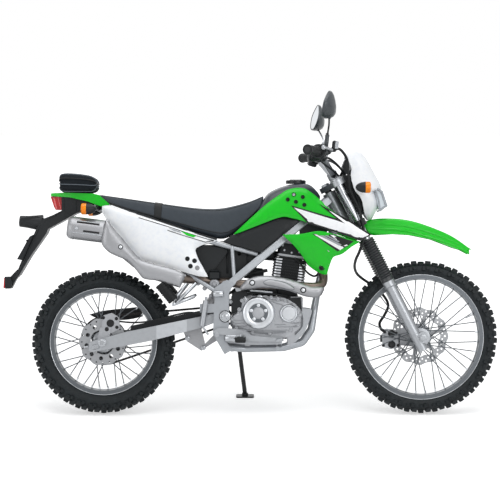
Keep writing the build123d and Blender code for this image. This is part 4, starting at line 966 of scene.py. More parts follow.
fillers = Form()
for outline in ([(-124, 396), (-124, 468), (-112, 486), (-80, 492), (-60, 486), (-60, 474), (-78, 466),
                 (-84, 424), (-100, 408)],
                [(70, 462), (152, 464), (154, 440), (157, 408), (148, 421), (132, 438), (110, 452),
                 (88, 463)]):
    panel([Vector(point) for point in outline], flat(98.6), 3, (), 8, sides=(RIGHT,), form=fillers)
fillers.block((4, -30, 490), (108, 60, 44), edge=6)
fillers.block((-92, -20, 470), (60, 70, 60), edge=8)
fillers.block((-36, -30, 560), (84, 40, 46), axes=tilted(0.1), edge=8)
piece("engine_fillers", fillers, "engine_black", sharp=30)

# the brake pedal's flat arm with its tip, and the gear lever
PEDAL = outline_of([(-196, 328), (-184, 340), (-164, 345), (-107, 341), (-75, 332), (-43, 316), (10, 310),
                    (70, 305)], [(76, 306), (84, 296), (70, 291)],
                   [(60, 291), (-31, 292), (-71, 300), (-140, 316), (-184, 320)], [(-184, 320), (-196, 322)])
arms = panel(PEDAL, lambda x, z: 132.0 + max(0.0, min(10.0, (x - 20) * 0.2)), 6, (), 7, sides=(RIGHT,))
arms.block((66, -152, 297), (30, 30, 12), axes=tilted(-0.2), edge=2)
for x in (56, 63, 70, 77):
    arms.block((x, -152, 304 + (x - 66) * 0.2), (3, 28, 5), edge=0.8)
arms.rod((-180, -116, 317), (-180, -136, 317), 10)
arms.rod((-238, -127, 352), (-224, -127, 453), 11)
arms.rod((-238, -127, 352), (-214, -127, 318), 4)
arms.rod((-224, -127, 453), (-222, -127, 468), 5)
arms.rod((-40, 92, 330), (-40, 124, 330), 8)
arms.bent([(-40, 118, 330), (-10, 122, 334), (20, 128, 338), (60, 131, 346), (92, 132, 352)], 5.5, 14, 6)
piece("pedal_arms", arms, "satin_aluminium", stands_for=("foot_controls",), sharp=30)
toe = Form().rod((92, 126, 352), (92, 164, 352), 10)
for y in (132, 138, 144, 150, 156):
    toe.rod((92, y, 352), (92, y + 2.5, 352), 11)
piece("gear_lever_rubber", toe, "black_rubber")

# ---------------------------------------------------------------- tail

SILENCER_START, SILENCER_END = Vector((-612, -148.6, 723.5)), Vector((-771, -156.2, 743.4))
SILENCER_RADIUS = 45
run = SILENCER_END - SILENCER_START
silencer = Form().lathe(SILENCER_START, run,
                        [(-10, 30), (-4, 38), (0, 43), (4, 44.6), (30, 45.0), (132, 45.0), (142, 44.2),
                         (150, 41), (156, 35), (158, 30), (158.6, 22), (156, 19.5), (140, 19), (120, 18.5)],
                        56, caps=False)
silencer.rod((-494, -141.8, 601), (-566, -146, 661), 22.6)
silencer.rod((-556, -145.6, 652), (-618, -148.8, 724), 29.6)
# the bands round its ends
for low, high in ((-4, 2), (128, 133)):
    silencer.lathe(SILENCER_START + run.normalized() * low, run,
                   [(0, 44), (0.4, 46.4), (high - low - 0.4, 46.4), (high - low, 44)], 56, caps=False)
piece("silencer_shell", silencer, "satin_steel", stands_for=("silencer",), sharp=35)


def on_silencer(x, z, out=0.0):
    """A point on the outer side of the silencer, seen at (x, z)."""
    axis = SILENCER_START + run * ((x - SILENCER_START.x) / run.x)
    return Vector((x, axis.y - max(0.0, SILENCER_RADIUS ** 2 - (z - axis.z) ** 2) ** 0.5 - out, z))


def line_on_silencer(x_low, length, z, steps, out):
    """A line along the silencer, which falls with it from its height z at x = -690."""
    spots = [x_low + length * i / steps for i in range(steps + 1)]
    return [on_silencer(x, z - (x + 690) * 0.125, out) for x in spots]


slots, rims = Form(), Form()
for x_low, length, z in ((-728, 88, 757), (-703, 63, 726)):
    path = line_on_silencer(x_low, length, z, 8, -2.2)
    slots.tube(path, 4.6, 12)
    for rise in (6.2, -6.2):
        rims.tube([point + Vector((0, 0.6, rise)) for point in path], 2.2, 8)
slots.lathe(SILENCER_END - run.normalized() * 34, run, [(0, 18.6), (1, 2)], 32)
piece("silencer_slots", slots, "decal_black")
at = on_silencer(-729, 738)
rims.lathe(at, OUT_RIGHT, [(-3, 9), (1.5, 9), (1.5, 5.5)], 24)
rims.nut(at, OUT_RIGHT, 5, 3.5)
rims.tube(line_on_silencer(-752, 130, 716, 10, 0.2), 1.8, 8)
piece("silencer_ribs", rims, "bright_metal")

tail_lens = Form().slab([(-845, 866.5), (-798, 863.5), (-798, 812.5), (-824, 812.5), (-831, 824)],
                        (-48.5, -45, 45, 48.5))
piece("tail_lens", tail_lens, "red_lens", stands_for=("rear_lamps",), sharp=30)
stripes = Form()
for side in SIDES:
    for x, wide in ((-829, 4.5), (-812, 2.0)):
        stripes.slab([(x + wide * k + shift, z)
                      for k, z, shift in ((-0.5, 862, -3), (0.5, 862, -3), (0.5, 816, 8), (-0.5, 816, 8))],
                     (side * 48, side * 49.2))
piece("tail_lens_stripes", stripes, "pale_red", sharp=30)
back = Form().slab([(-1029, 546), (-1006, 546), (-1000, 522), (-1004, 499), (-1026, 498)], (-40, -38, 38, 40))
back.block((-1008, 0, 536), (14, 30, 10), edge=2)
piece("reflector_housing", back, "black_plastic", sharp=30)
reflector = Form().block((-1030, 0, 521), (6, 76, 42), axes=tilted(0.06), edge=1.5)
piece("reflector_plate", reflector, "red_lens", sharp=30)
under = Form().slab([(-800, 812), (-800, 864), (-760, 862), (-696, 847), (-648, 829), (-668, 822),
                     (-716, 806), (-752, 796)], (-58, -55, 55, 58))
for x in (-790, -742):
    for side in SIDES:
        under.block((x, side * 58.5, 832), (3, 3, 48), edge=0.8)
piece("tail_underside", under, "black_plastic", sharp=30)
holder, plate_screws = Form(), Form()
HOLDER_EDGE = [(-804, 812), (-836, 796), (-878, 770), (-906, 726), (-936, 660), (-968, 586), (-984, 552)]
for side in SIDES:
    holder.bent([(x + 4, side * (54 if x > -850 else 46.5), z - 6) for x, z in HOLDER_EDGE], 3.2, 8, 6)
    holder.bolt((-937, side * 58.5, 690), (0, side, 0), 4.5, 3)
    plate_screws.bolt((-929, side * 30, 700), (-0.87, 0, 0.5), 5, 3)
holder.lathe((-968, 0, 768), (1, 0, -0.08),
             [(-6, 18), (-4, 22), (2, 23), (28, 24.5), (60, 29), (86, 34), (88, 30)], 32)
piece("plate_holder_trim", holder, "black_plastic")
piece("plate_screws", plate_screws, "bright_metal")


def indicator(name, node, body, at, to_lens, stem):
    """A bullet-shaped turn signal; to_lens is the direction of its amber end."""
    direction = Vector((to_lens, 0, 0))
    shell = Form().lathe(at, direction, [(-30, 3), (-27, 9), (-20, 14.5), (-8, 19.6), (4, 21.6), (9, 22),
                                         (9.5, 20)], 36)
    shell.bent(stem, 7.5, 14, 6)
    before, end = [Vector(point) for point in stem[-2:]]
    shell.rod(end, end + (end - before).normalized() * 8, 13)
    piece(name + "_shell", shell, "black_plastic", body, stands_for=(node,))
    lens = Form().lathe(at, direction,
                        [(8.6, 21.4), (9.4, 22.3), (24, 22.3), (28, 20.6), (30.4, 14), (31.2, 4)], 36)
    for step in (13, 17, 21):
        lens.lathe(Vector(at) + direction * step, direction,
                   [(0, 22.2), (0.5, 22.8), (1.5, 22.8), (2, 22.2)], 36, caps=False)
    piece(name + "_lens", lens, "amber_lens", body)


for side, word in ((RIGHT, "right"), (LEFT, "left")):
    indicator("rear_indicator_" + word, "rear_indicators", "chassis", (-683, side * 180, 814), -1,
              [(-664, side * 178, 814), (-660, side * 140, 815), (-664, side * 104, 817),
               (-652, side * 78, 822)])
    indicator("front_indicator_" + word, "front_indicators", "steering", (395, side * 180, 899), 1,
              [(386, side * 178, 899), (388, side * 150, 899), (392, side * 128, 899),
               (392, side * 116, 899)])

# ---------------------------------------------------------------- bars, mirrors and lamp

MIRROR_TILT, MIRROR_TURN = radians(14), radians(11)
MIRROR_UP = turned(-MIRROR_TILT)[1]


def mirror_oval(middle, facing, ahead, scale_up, scale_wide, drop=0.0):
    """A pear-shaped section of a mirror; ahead is its place in front of the glass."""
    wide = facing.cross(MIRROR_UP)
    ring = []
    for a in turns(40):
        pear = 1 - 0.4 * max(0.0, sin(a)) ** 1.5
        ring.append(middle - facing * ahead + MIRROR_UP * (sin(a) * 54 * scale_up - drop)
                    + wide * cos(a) * 62 * scale_wide * pear)
    return ring


def mirror(side, word, x, z, foot, stem_finish):
    """A mirror's shell, stem and glass; foot is the height of its lock nut."""
    facing = Vector((-cos(MIRROR_TURN), -side * sin(MIRROR_TURN), 0))
    facing = (facing - MIRROR_UP * facing.dot(MIRROR_UP)).normalized()
    middle = Vector((x, side * 305, z))
    shell = Form().rings([mirror_oval(middle, facing, *section) for section in (
        (2, 0.94, 0.95), (-3, 0.97, 0.97), (-2.5, 1.0, 1.0), (2, 1.02, 1.02), (10, 0.99, 0.97, 1),
        (20, 0.86, 0.84, 5), (30, 0.64, 0.62, 12), (38, 0.4, 0.4, 18), (42, 0.15, 0.15, 22))])
    neck = middle - facing * 22 - MIRROR_UP * 44
    shell.rod(neck + MIRROR_UP * 14, neck - MIRROR_UP * 8, 8)
    base = Vector((246, side * 236, 1044))
    shell.rod(base, (252, side * 240, foot), 8.5)
    shell.rod((244, side * 236, 1028), base + Vector((0, 0, 12)), 12)
    piece("mirror_shell_" + word, shell, "mirror_back", "steering",
          stands_for=("mirrors",), sharp=50)
    elbow = Vector((254, side * 246, foot + 12))
    stem = Form().bent([(252, side * 240, foot - 10), elbow, (elbow + neck) / 2 + Vector((2, -side * 4, 0)),
                        neck], 3.6)
    stem.nut((252, side * 240, foot), UP, 6, 8)
    piece("mirror_stem_" + word, stem, stem_finish, "steering")
    glass = Form().rings([mirror_oval(middle, facing, *section) for section in (
        (-0.5, 0.93, 0.94), (-1.6, 0.92, 0.93), (-1.8, 0.5, 0.5), (-1.8, 0.05, 0.05))])
    piece("mirror_glass_" + word, glass, "mirror_glass", "steering", sharp=60)


mirror(RIGHT, "right", 246, 1216, 1101, "black_metal")
mirror(LEFT, "left", 222, 1203, 1090, "bright_metal")

controls, metal = Form(), Form()
for side in SIDES:
    inner, outer = Vector((221, side * 243, 1030.5)), Vector((213.6, side * 279, 1037))
    along = (outer - inner).normalized()
    controls.lathe(inner, along, [(0, 24), (2, 27), (8, 29), (20, 30), (30, 30), (33, 28), (36, 24)])
    controls.block(inner + Vector((-14, 0, -22)), (34, 30, 22), axes=tilted(0.3, along), edge=4)
    controls.block(inner + Vector((14, 0, 16)), (26, 26, 16), axes=tilted(-0.2, along), edge=4)
    controls.rod((224, side * 236, 1028.5), (228, side * 210, 1024.5), 18)
    controls.block((246, side * 226, 1034), (38, 22, 24), axes=tilted(-0.3), edge=4)
    metal.rod((262, side * 228, 1030), (262, side * 228, 1052), 6)
    metal.bent([(258, side * 226, 1040), (268, side * 250, 1042), (262, side * 290, 1043),
                (246, side * 338, 1045), (234, side * 366, 1046)],
               [6.5] * 8 + [6.0] * 8 + [5.5] * 8 + [5.0] * 9, 14)
    metal.lathe((234, side * 366, 1046), (-0.3, side, 0.02), [(-2, 4), (0, 7.4), (5, 9), (10, 8), (13, 3)],
                20)
controls.block((281, -216, 1062), (20, 40, 36), axes=tilted(0.12), edge=4)
controls.block((270, -216, 1044), (36, 28, 18), axes=tilted(-0.1), edge=4)
controls.rod((244, 236, 1006), (244, 206, 1006), 11)
for radius, line in (
        (4.5, [(232, -206, 1012), (262, -150, 1014), (300, -84, 988), (330, -52, 950), (344, -44, 914)]),
        (4.5, [(236, 206, 1010), (266, 150, 1018), (300, 100, 1000), (334, 66, 958), (346, 50, 914)]),
        (4, [(224, -232, 1002), (250, -170, 984), (286, -96, 962), (318, -60, 930), (334, -48, 890)])):
    controls.bent(line, radius)
piece("bar_switches", controls, "black_plastic", "steering", stands_for=("bar_controls",), sharp=35)
metal.block((289, -237, 1062), (14, 3, 30), axes=tilted(0.12), edge=1)
piece("bar_levers", metal, "satin_aluminium", "steering")
grips = Form()
grip_profile = [(0, 22), (4, 22), (4.5, 17.4)]
for start in [6 + i * 4.6 for i in range(22)]:
    grip_profile += [(start, 18.4), (start + 2.6, 18.4), (start + 3.2, 17.4), (start + 4.2, 17.4)]
grip_profile = [(run_in, radius) for run_in, radius in grip_profile if run_in < 106]
grip_profile += [(107, 18), (110, 20), (115.6, 20), (116.4, 18.6), (116.4, 8), (115.4, 6)]
for side in SIDES:
    start, end = Vector((214, side * 277, 1037)), Vector((170, side * 385, 1038))
    grips.lathe(start, end - start, grip_profile)
piece("grip_rubbers", grips, "black_rubber", "steering", stands_for=("grips",), sharp=50)
silver = Form()
STEM_AHEAD, STEM_UP = turned(RAKE)
CLAMP_AT = (282, 950)
for side in SIDES:
    silver.rod(fork(44, side * 44, 711), fork(44, side * 44, 742), 15.5, 14.5)
    riser = out_to(CLAMP_AT, side * 44)
    silver.block(riser, (38, 24, 34), axes=(STEM_AHEAD, ACROSS, STEM_UP), edge=4)
    silver.tube([(240, side * 171, 1009), (276, side * 84, 959), (282, side * 66, 950),
                 (282, side * 20, 950)], 11.9, 20)
    for ahead in (-11, 11):
        silver.nut(riser + STEM_AHEAD * ahead + STEM_UP * 17, STEM_UP, 4, 5)
    silver.lathe(leg(side, 710), STEM_UP,
                 [(0, 29), (1.5, 27), (2, 22), (8, 21), (10, 18), (10.4, 8)])
silver.lathe(fork(0, 0, 710), STEM_UP, [(0, 18), (8, 17), (10, 14), (10.4, 5)], 6)
top_plate = []
# the plate's outline goes round three bosses: the two legs and the stem
bosses = [Vector((LEG_AHEAD, LEG_SIDE)), Vector((LEG_AHEAD, -LEG_SIDE)), Vector((0, 0))]
for a in turns(48):
    reach = Vector((cos(a), sin(a)))
    top_plate.append(max(bosses, key=lambda spot: spot.dot(reach)) + reach * 28.8)
silver.rings([[fork(spot.x, spot.y, up) for spot in top_plate] for up in (689.4, 711)])
piece("top_clamp_cover", silver, "satin_aluminium", "steering", sharp=30)

behind = Form().slab([(319, 953), (350, 949), (372, 930), (384, 912), (374, 881), (398, 850), (408, 826),
                      (406, 795), (378, 795), (352, 850), (330, 905)], (-70, -66, 66, 70))
for side in SIDES:
    behind.bent([(340, side * 74, 940), (362, side * 78, 900), (380, side * 80, 850), (398, side * 76, 800)],
                5, 12, 6)
    behind.rod((356, side * 60, 966), (356, side * 88, 966), 9)
piece("lamp_support", behind, "black_plastic", "steering", sharp=30)
DIAL_AT, DIAL_FACING = (325, 0, 984), (-0.93, 0, 0.37)
meter = Form().slab([(318, 984), (328, 1012), (336, 1014), (344, 1004), (344, 960), (324, 950)],
                    (-58, -54, 54, 58))
meter.lathe(DIAL_AT, DIAL_FACING, [(-6, 38), (2, 38), (3, 35)], 36)
piece("meter_case", meter, "black_plastic", "steering", stands_for=("meter",), sharp=30)
dial = Form().lathe(DIAL_AT, DIAL_FACING, [(0, 34), (3.4, 34), (3.6, 2)], 36)
piece("meter_dial", dial, "lamp_glass_dark", "steering")

# the headlamp's bezel
bezel = Form()
for side in SIDES:
    bezel.tube([(441, side * 77, 906), (474, side * 77, 884), (492, side * 77, 829), (464, side * 77, 809)],
               5.5, 12)
    bezel.tube([(447, side * 77.5, 895), (462, side * 78, 850), (466, side * 78, 815)], 3)
bezel.tube([(474, -77, 884), (475, 0, 885), (474, 77, 884)], 5.5, 12)
bezel.tube([(492, -77, 829), (493, 0, 829), (492, 77, 829)], 5.5, 12)
piece("lamp_bezel", bezel, "pale_plastic", "steering", sharp=50)

# ---------------------------------------------------------------- discs, boots, hoses and fittings


def ring_patch(at, outer, inner, holes, y_out, form):
    """A flat disc with holes, across the wheel's axis; outer(angle) and inner(angle) are its radii."""
    outer_line = [Vector(around(at, outer(a), a)) for a in turns(160)]
    inner_line = [Vector(around(at, inner(a), a)) for a in turns(96)]
    side = LEFT if y_out > 0 else RIGHT
    return panel(outer_line, flat(abs(y_out)), 4.5, [inner_line] + holes, sides=(side,), form=form)


def hole_rows(at, rows):
    """Rings of round holes: (radius of the row, how many, the first one's angle, size)."""
    return [ring_points(around(at, radius, phase + a), size, 12)
            for radius, count, phase, size in rows for a in turns(count)]


disc = ring_patch(FRONT_AXLE, lambda a: 114 + 3.2 * cos(12 * a), lambda a: 82 + 3 * cos(12 * a),
                  hole_rows(FRONT_AXLE, [(103, 24, 0.0, 4.2), (93, 24, 0.13, 3.6)]), 68.5, Form())
# the six arms of its carrier, which narrow from the hub to the disc
for a in turns(6):
    radial, along = turned(a + 0.26)
    hub, rim = [out_to(FRONT_AXLE, 66) + radial * reach for reach in (44, 84)]
    disc.rings([[foot + along * w * k + ACROSS * d for k, d in ((-1, -2), (1, -2), (1, 2), (-1, 2))]
                for foot, w in ((hub, 12), (rim, 6))])
    disc.lathe(rim, ACROSS, [(-3, 6), (3.4, 6), (4, 5)], 16)
disc.lathe(out_to(FRONT_AXLE, 62), ACROSS, [(0, 50), (5, 50), (5.6, 48), (5.6, 34), (0, 34)], 48,
           caps=False, loop=True)
piece("front_wave_disc", disc, "disc_steel", "front_wheel", stands_for=("front_disc",), sharp=30)
disc = ring_patch(REAR_AXLE, lambda a: 93 + 2.6 * cos(10 * a), lambda a: 50 + 1.5 * cos(5 * a),
                  hole_rows(REAR_AXLE, [(84, 20, 0.0, 3.2), (66, 10, 0.2, 8.5)]), -63.5, Form())
piece("rear_wave_disc", disc, "disc_steel", "rear_wheel", stands_for=("rear_disc",), sharp=30)

boots, clamps = Form(), Form()
boot_profile = [(-8, 19.5), (-8, 25), (-2, 26.5), (0, 25)]
for low in range(0, 160, 10):
    boot_profile += [(low + 1.2, 23.8), (low + 3, 27), (low + 4.6, 29.4), (low + 6, 29.4), (low + 7.6, 27),
                     (low + 9.4, 23.8)]
boot_profile += [(161, 25.5), (167, 25.5), (168, 24), (168, 17.5)]
for side in SIDES:
    boots.lathe(leg(side, 280), STEM_UP, boot_profile, 40)
    boots.lathe(leg(side, 262), STEM_UP, [(0, 25.4), (1, 26.4), (12, 26.4), (13, 25.4)], 40)
    clamps.lathe(leg(side, 20), STEM_UP, [(0, 21), (0.6, 22.4), (6, 22.4), (6.6, 21)], 36, caps=False)
    clamps.lathe(leg(side, 236), STEM_UP, [(0, 21.4), (4, 25.4), (40, 25.4), (41.5, 24)], 36, caps=False)
    clamps.nut(out_to(FRONT_AXLE, side * 121), (0, side, 0), 11, 7)
    for z in (-12, 6):
        clamps.bolt((FRONT_AXLE[0] - 18, side * 113.5, FRONT_AXLE[1] + z), (0, side, 0), 4, 4)
piece("boot_rings", boots, "boot_rubber", "steering", stands_for=("fork_boots",),
      sharp=80)
piece("fork_trim", clamps, "satin_aluminium", "steering", sharp=35)

hoses = Form().bent([(278, -210, 1046), (306, -160, 1048), (334, -124, 1010), (340, -113, 950),
                     (350, -106, 885), (378, -101, 826), (392, -126, 772), (400, -131, 706),
                     (384, -112, 648), (372, -62, 615), (370, 0, 585), (382, 60, 558), (407, 96, 536),
                     (440, 116, 514), (488, 118, 474), (512, 114, 430), (497, 104, 390), (476, 88, 358),
                     (480, 72, 334), (492, 66, 324)], 5.6, 14)
piece("front_hose_line", hoses, "black_rubber", "steering", stands_for=("front_brake_hose",))

fittings, caps = Form(), Form()
for side in SIDES:
    out = (0, side, 0)
    fittings.lathe((-148, side * 116.6, 390), out, [(0, 21), (3, 21), (4, 19), (4, 15)])
    fittings.nut((-148, side * 119.6, 390), out, 12, 7)
    fittings.nut((-635, side * 121, 287), out, 13, 8)
    fittings.block((-660, side * 114, 270), (26, 5, 18), axes=tilted(-0.2), edge=1.5)
    fittings.rod((-690, side * 100, 270), (-708, side * 100, 266), 4)
    fittings.bolt((-178, side * 88, 488), out, 7, 5)
    fittings.bolt((-126, side * 96, 447), out, 8, 5)
    caps.lathe((-148, side * 116, 390), out, [(0, 24), (2.6, 24), (3, 22)])
for x, z in ((-300, 300), (-236, 262), (-166, 316)):
    fittings.rod((x, -34, z), (x, 34, z), 10)
    fittings.nut((x, -34, z), OUT_RIGHT, 7, 5)
piece("pivot_fittings", fittings, "bright_metal", sharp=35)
piece("pivot_caps", caps, "black_rubber")

rubbers, metal = Form(), Form()
for side in SIDES:
    foot, tip = Vector((-349, side * 172, 454)), Vector((-404, side * 172, 520))
    length = (foot - tip).length
    profile = [(0, 14), (0, 20), (3, 22)]
    for start in range(5, 86, 9):
        profile += [(start, 22.5), (start + 4, 22.5), (start + 5, 20.6), (start + 8, 20.6)]
    rubbers.lathe(tip, foot - tip, profile + [(length - 1, 22.5), (length, 20), (length, 14)], 28)
    for low, high in (((-352, 166, 452), (-300, 140, 520)), ((-340, 166, 446), (-262, 140, 522)),
                      ((-346, 164, 440), (-268, 142, 470))):
        metal.rod((low[0], side * low[1], low[2]), (high[0], side * high[1], high[2]), 6.5)
    metal.rod((-349, side * 186, 440), (-349, side * 160, 440), 8)
    rubbers.block((-87, side * 178, 301), (42, 95, 22), edge=3)
    # the teeth of the rider's peg
    for y in range(138, 219, 10):
        for x in (-102, -72):
            metal.rings([[(x + dx, side * (y + dy), z) for dx, dy in ((-2, -3), (2, -3), (2, 3), (-2, 3))]
                         for z in (306, 315)])
    metal.block((-87, side * 178, 300), (38, 92, 10), edge=2)
    metal.block((-116, side * 125.5, 304), (66, 16, 26), edge=3)
    metal.rod((-87, side * 134, 292), (-87, side * 134, 318), 6)
    metal.block((-175, side * 122, 479), (42, 11, 24), edge=3)
piece("peg_rubbers", rubbers, "black_rubber", stands_for=("foot_pegs",), sharp=60)
piece("peg_stays", metal, "bright_metal", stands_for=("foot_pegs",), sharp=50)

plates = Form()
WEDGE = outline_of([(-702, 391), (-650, 405), (-600, 412), (-491, 423)],
                   [(-491, 423), (-487, 400), (-484, 383)],
                   [(-484, 383), (-557, 369), (-658, 374), (-702, 391)])
panel(WEDGE, flat(101), 3, sides=(LEFT,), form=plates)
TOP = outline_of([(-520, 352), (-430, 371), (-340, 392), (-246, 412)],
                 [(-246, 412), (-240, 398), (-246, 386)],
                 [(-246, 386), (-340, 366), (-430, 346), (-520, 330), (-520, 352)])
panel(TOP, flat(66), 4, sides=(RIGHT,), form=plates)
piece("chain_guard_plates", plates, "black_plastic", stands_for=("chain_guard",), sharp=50)

# the front fender's ribs, from its stations: x, low and high edge, and the half widths there
FENDER = [(420, 712, 770, 74.5, 53), (449, 710, 777, 75, 52), (515, 706, 779, 75, 50),
          (576, 700, 773, 74, 48), (641, 684, 756, 72, 45), (706, 668, 732, 66, 40), (771, 648, 700, 58, 34),
          (826, 625, 662, 49, 27)]
ribs = Form()
for side in SIDES:
    for share, width, high in ((0.40, 6.0, 4.2), (0.66, 4.6, 3.4)):
        rings = []
        for i, (x, low, top, half_low, half_top) in enumerate(FENDER):
            fade = min(1.0, i / 2, (len(FENDER) - 1 - i) / 2)
            z, y = low + (top - low) * share, half_low + (half_top - half_low) * share
            rings.append([(x, side * (y + out), z + step)
                          for step, out in ((-width, -1.5), (-width * 0.5, high * fade),
                                            (width * 0.5, high * fade), (width, -1.5))])
        ribs.rings(rings)
piece("fender_ribs", ribs, "green_plastic", "steering", sharp=60)

# the caliper's pins and pads
pins = Form()
for z in (272, 316):
    pins.lathe((522, 47, z), OUT_RIGHT, [(0, 15), (3, 15), (4, 12), (2, 9)], 28)
pins.nuts([(494, 322), (540, 318), (548, 268), (488, 268)], 47, 5, 5)
pins.block((480, 60, 294), (8, 20, 26), edge=2)
pins.block((552, 58, 290), (10, 20, 46), edge=2)
piece("caliper_pins", pins, "black_metal", "steering", sharp=35)

# the air box's sides and the dark parts within the frame
BOX = outline_of([(-266, 662), (-229, 673), (-148, 667), (-11, 636)], [(-11, 636), (-60, 580), (-123, 526)],
                 [(-123, 526), (-163, 534), (-219, 545)], [(-219, 545), (-240, 600), (-266, 662)])
BOX_HOLES = (((-172, 646), 7), ((-92, 638), 8), ((-199, 583), 6))
inner = panel(BOX, flat(52), 5, [ring_points(at, radius, 14) for at, radius in BOX_HOLES])
UNDER = outline_of([(-190, 693), (-143, 690), (20, 730), (150, 770)], [(150, 770), (75, 700), (-1, 634)],
                   [(-1, 634), (-90, 662), (-190, 693)])
panel(UNDER, flat(46), 5, form=inner)
GAP = outline_of([(150, 757), (212, 754), (264, 733)], [(264, 733), (234, 712), (150, 714)],
                 [(150, 714), (150, 757)])
panel(GAP, flat(70), 5, form=inner)
for side in SIDES:
    for x, low, high in ((-240, 610, 655), (-215, 560, 660), (-140, 560, 655), (-60, 600, 636)):
        inner.rod((x, side * 52, low), (x, side * 52, high), 4)
piece("air_box_sides", inner, "black_plastic", sharp=50)
# the rear brake's reservoir and master cylinder
fitted = Form().block((-191, -78, 552), (46, 22, 32), edge=4)
fitted.block((-191, -78, 570), (36, 24, 8), edge=3)
piece("rear_reservoir", fitted, "black_plastic")
master = Form().lathe((-191, -62, 517), OUT_RIGHT, [(0, 22), (10, 22), (14, 19), (15, 9), (17, 8), (17, 3)],
                      36)
for x, z in ((-230, 500), (-205, 470), (-255, 520)):
    master.nut((x, -80, z), OUT_RIGHT, 6, 5)
    master.rod((x, -60, z), (x, -80, z), 9)
piece("rear_master", master, "engine_silver", sharp=35)
CORE = [(-58, -50), (58, -50), (64, -40), (64, 40), (58, 50), (-58, 50), (-64, 40), (-64, -40)]
core = Form().rings([[barrel(x, y, z) for x, y in CORE] for z in (62, 152)])
piece("cylinder_core", core, "engine_black", sharp=30)
seat_edge = [(-530, 803), (-444, 780), (-369, 753), (-278, 721), (-184, 696)]
piece("seat_edge_line", lines_on([seat_edge], side_depth, -4, 4.5), "black_rubber")
# the exhaust pipe and its two collars
header = Form().bent([(158, -24, 652), (190, -28, 644), (214, -36, 624), (236, -62, 584), (242, -90, 540),
                      (232, -112, 516), (202, -130, 507), (130, -134, 511), (60, -134, 515),
                      (-20, -132, 516), (-80, -112, 518), (-120, -80, 522), (-170, -56, 527),
                      (-230, -62, 532), (-290, -96, 537), (-340, -126, 543), (-390, -137, 555),
                      (-440, -138, 572), (-500, -142, 606)], 17.5, 24, 6)
for at, towards in (((158, -24, 652), (0.9, -0.1, -0.4)), ((-470, -140, 589), (-0.85, -0.05, 0.5))):
    header.lathe(at, towards, [(-6, 19), (-4, 22.5), (4, 22.5), (6, 19)], 28)
piece("exhaust_pipe_bends", header, "header_steel", stands_for=("exhaust_pipe",))
# the face between the bright ring and the middle boss, in the darker rim colour: painted shade of the recess
painted_recess_shade = Form().lathe(out_to(CLUTCH_AT, -95), OUT_RIGHT, [(30, 37.5), (32.6, 37), (32.6, 24), (30, 23)], 56,
                      caps=False)
piece("cover_painted_recess_shade", painted_recess_shade, "rim_aluminium", sharp=35)
bosses = Form()
for a in turns(5):
    bosses.lathe(out_to(around(CLUTCH_AT, 30, pi / 2 + a), -126), OUT_RIGHT,
                 [(0, 7), (3.4, 6.4), (4.6, 4.6), (4.6, 2)], 18)
piece("cover_bosses", bosses, "bright_edge", sharp=35)
GUSSET = outline_of([(-190, 342), (-86, 340), (-57, 328), (-29, 312), (76, 310)], [(76, 310), (78, 279)],
                    [(78, 279), (-29, 277), (-90, 281), (-168, 290)], [(-168, 290), (-190, 342)])
plate = panel(GUSSET, flat(105), 4, [ring_points((-40, 300), 5, 14), ring_points((50, 299), 4, 14)], 7,
              sides=(RIGHT,))
plate.nuts([(-150, 326), (-110, 322), (20, 300)], -105, 7, 5)
piece("lower_gusset", plate, "satin_aluminium")
caliper_parts = Form()
for x, z, r in ((-604, 362, 15), (-618, 338, 9)):
    caliper_parts.lathe((x, -83, z), OUT_RIGHT, [(0, r), (4, r), (5.5, r - 2), (5.5, r * 0.4)], 28)
caliper_parts.nuts([(-632, 384), (-580, 380), (-578, 346)], -84, 5.5, 5)
piece("rear_caliper_caps", caliper_parts, "black_metal", sharp=35)

# ---------------------------------------------------------------- stage

# the lamps' watts, and how bright the world and the floor near the bike look
OVERHEAD, KEY, FILL, BACK = 140, 84, 44, 30
WORLD, FLOOR_GLOW = 0.35, 0.5
# the floor brightens to plain white between these distances, in metres
GLOW_NEAR, GLOW_FAR = 1.2, 6.0
# the camera's lens in millimetres, and its place in bike coordinates; it leans with the bike
LENS, SENSOR, CAMERA_AT = 152.6, 36, (-49.5, -8500, 652.8)


def seen_only_by(tree, away, near):
    """Mix two shaders: near where the camera looks straight at the surface, away for everything else."""
    link = tree.links.new
    rays = add_node(tree, "LightPath").outputs
    either, any_of = add_node(tree, "Math"), add_node(tree, "Math")
    either.operation = any_of.operation = "MAXIMUM"
    link(rays["Is Camera Ray"], either.inputs[0])
    link(rays["Is Transmission Ray"], either.inputs[1])
    link(either.outputs[0], any_of.inputs[0])
    link(rays["Is Glossy Ray"], any_of.inputs[1])
    mixed = add_node(tree, "MixShader")
    for place, source in enumerate((any_of, away, near)):
        link(source.outputs[0], mixed.inputs[place])
    return mixed.outputs[0]


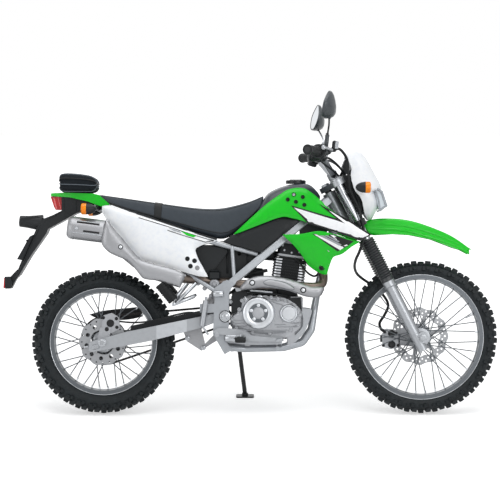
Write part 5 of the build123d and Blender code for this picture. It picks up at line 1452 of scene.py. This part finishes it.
floor_mesh = bpy.data.meshes.new("floor")
floor_mesh.from_pydata([(-9, -9, 0), (9, -9, 0), (9, 9, 0), (-9, 9, 0)], [], [(0, 1, 2, 3)])
floor = bpy.data.objects.new("floor", floor_mesh)
bpy.context.scene.collection.objects.link(floor)
paint = bpy.data.materials.new("floor")
paint.use_nodes = True
tree = paint.node_tree
matte = add_node(tree, "BsdfDiffuse", {"Color": (0.8, 0.8, 0.8, 1)})
glow = add_node(tree, "Emission")
place = add_node(tree, "NewGeometry")
away = add_node(tree, "VectorMath")
away.operation = "LENGTH"
tree.links.new(place.outputs["Position"], away.inputs[0])
fade = add_node(tree, "MapRange",
                {"From Min": GLOW_NEAR, "From Max": GLOW_FAR, "To Min": FLOOR_GLOW, "To Max": 1.0})
tree.links.new(away.outputs["Value"], fade.inputs["Value"])
tree.links.new(fade.outputs["Result"], glow.inputs["Strength"])
lit = add_node(tree, "AddShader")
tree.links.new(matte.outputs[0], lit.inputs[0])
tree.links.new(glow.outputs[0], lit.inputs[1])
tree.links.new(seen_only_by(tree, matte, lit), tree.nodes["Material Output"].inputs["Surface"])
floor_mesh.materials.append(paint)


def lamp(name, at, aim, size, watts):
    data = bpy.data.lights.new(name, "AREA")
    data.shape = "RECTANGLE"
    data.size, data.size_y = size
    data.energy = watts
    made = bpy.data.objects.new(name, data)
    made.location = at
    made.rotation_euler = (Vector(aim) - Vector(at)).to_track_quat("-Z", "Y").to_euler()
    made.visible_camera = False
    bpy.context.scene.collection.objects.link(made)


lamp("overhead", (0, -0.6, 4.6), (0, 0, 0.5), (5, 4), OVERHEAD)
lamp("key", (2.6, -4.6, 2.6), (0, 0, 0.6), (3, 2.4), KEY)
lamp("fill", (-4.2, -3.6, 1.8), (0, 0, 0.6), (3, 2.4), FILL)
lamp("behind", (-0.5, 4.6, 3.0), (0, 0, 0.6), (4, 2), BACK)

world = bpy.data.worlds.new("studio")
bpy.context.scene.world = world
world.use_nodes = True
tree = world.node_tree
plain = set_inputs(tree.nodes["Background"], {"Color": (0.96, 0.98, 1.0, 1), "Strength": WORLD})
white = add_node(tree, "Background", {"Color": (1, 1, 1, 1), "Strength": 1.0})
tree.links.new(seen_only_by(tree, plain, white), tree.nodes["World Output"].inputs["Surface"])

camera_data = bpy.data.cameras.new("camera")
camera_data.lens, camera_data.sensor_width = LENS, SENSOR
camera_data.clip_start, camera_data.clip_end = 0.1, 60
camera = bpy.data.objects.new("camera", camera_data)
bpy.context.scene.collection.objects.link(camera)
camera.matrix_world = (Matrix.Translation(BIKE @ Vector(CAMERA_AT)) @ Matrix.Rotation(-LEAN, 4, "X")
                       @ Matrix.Rotation(radians(90), 4, "X"))
bpy.context.scene.camera = camera

bpy.context.scene.view_settings.view_transform = "Standard"
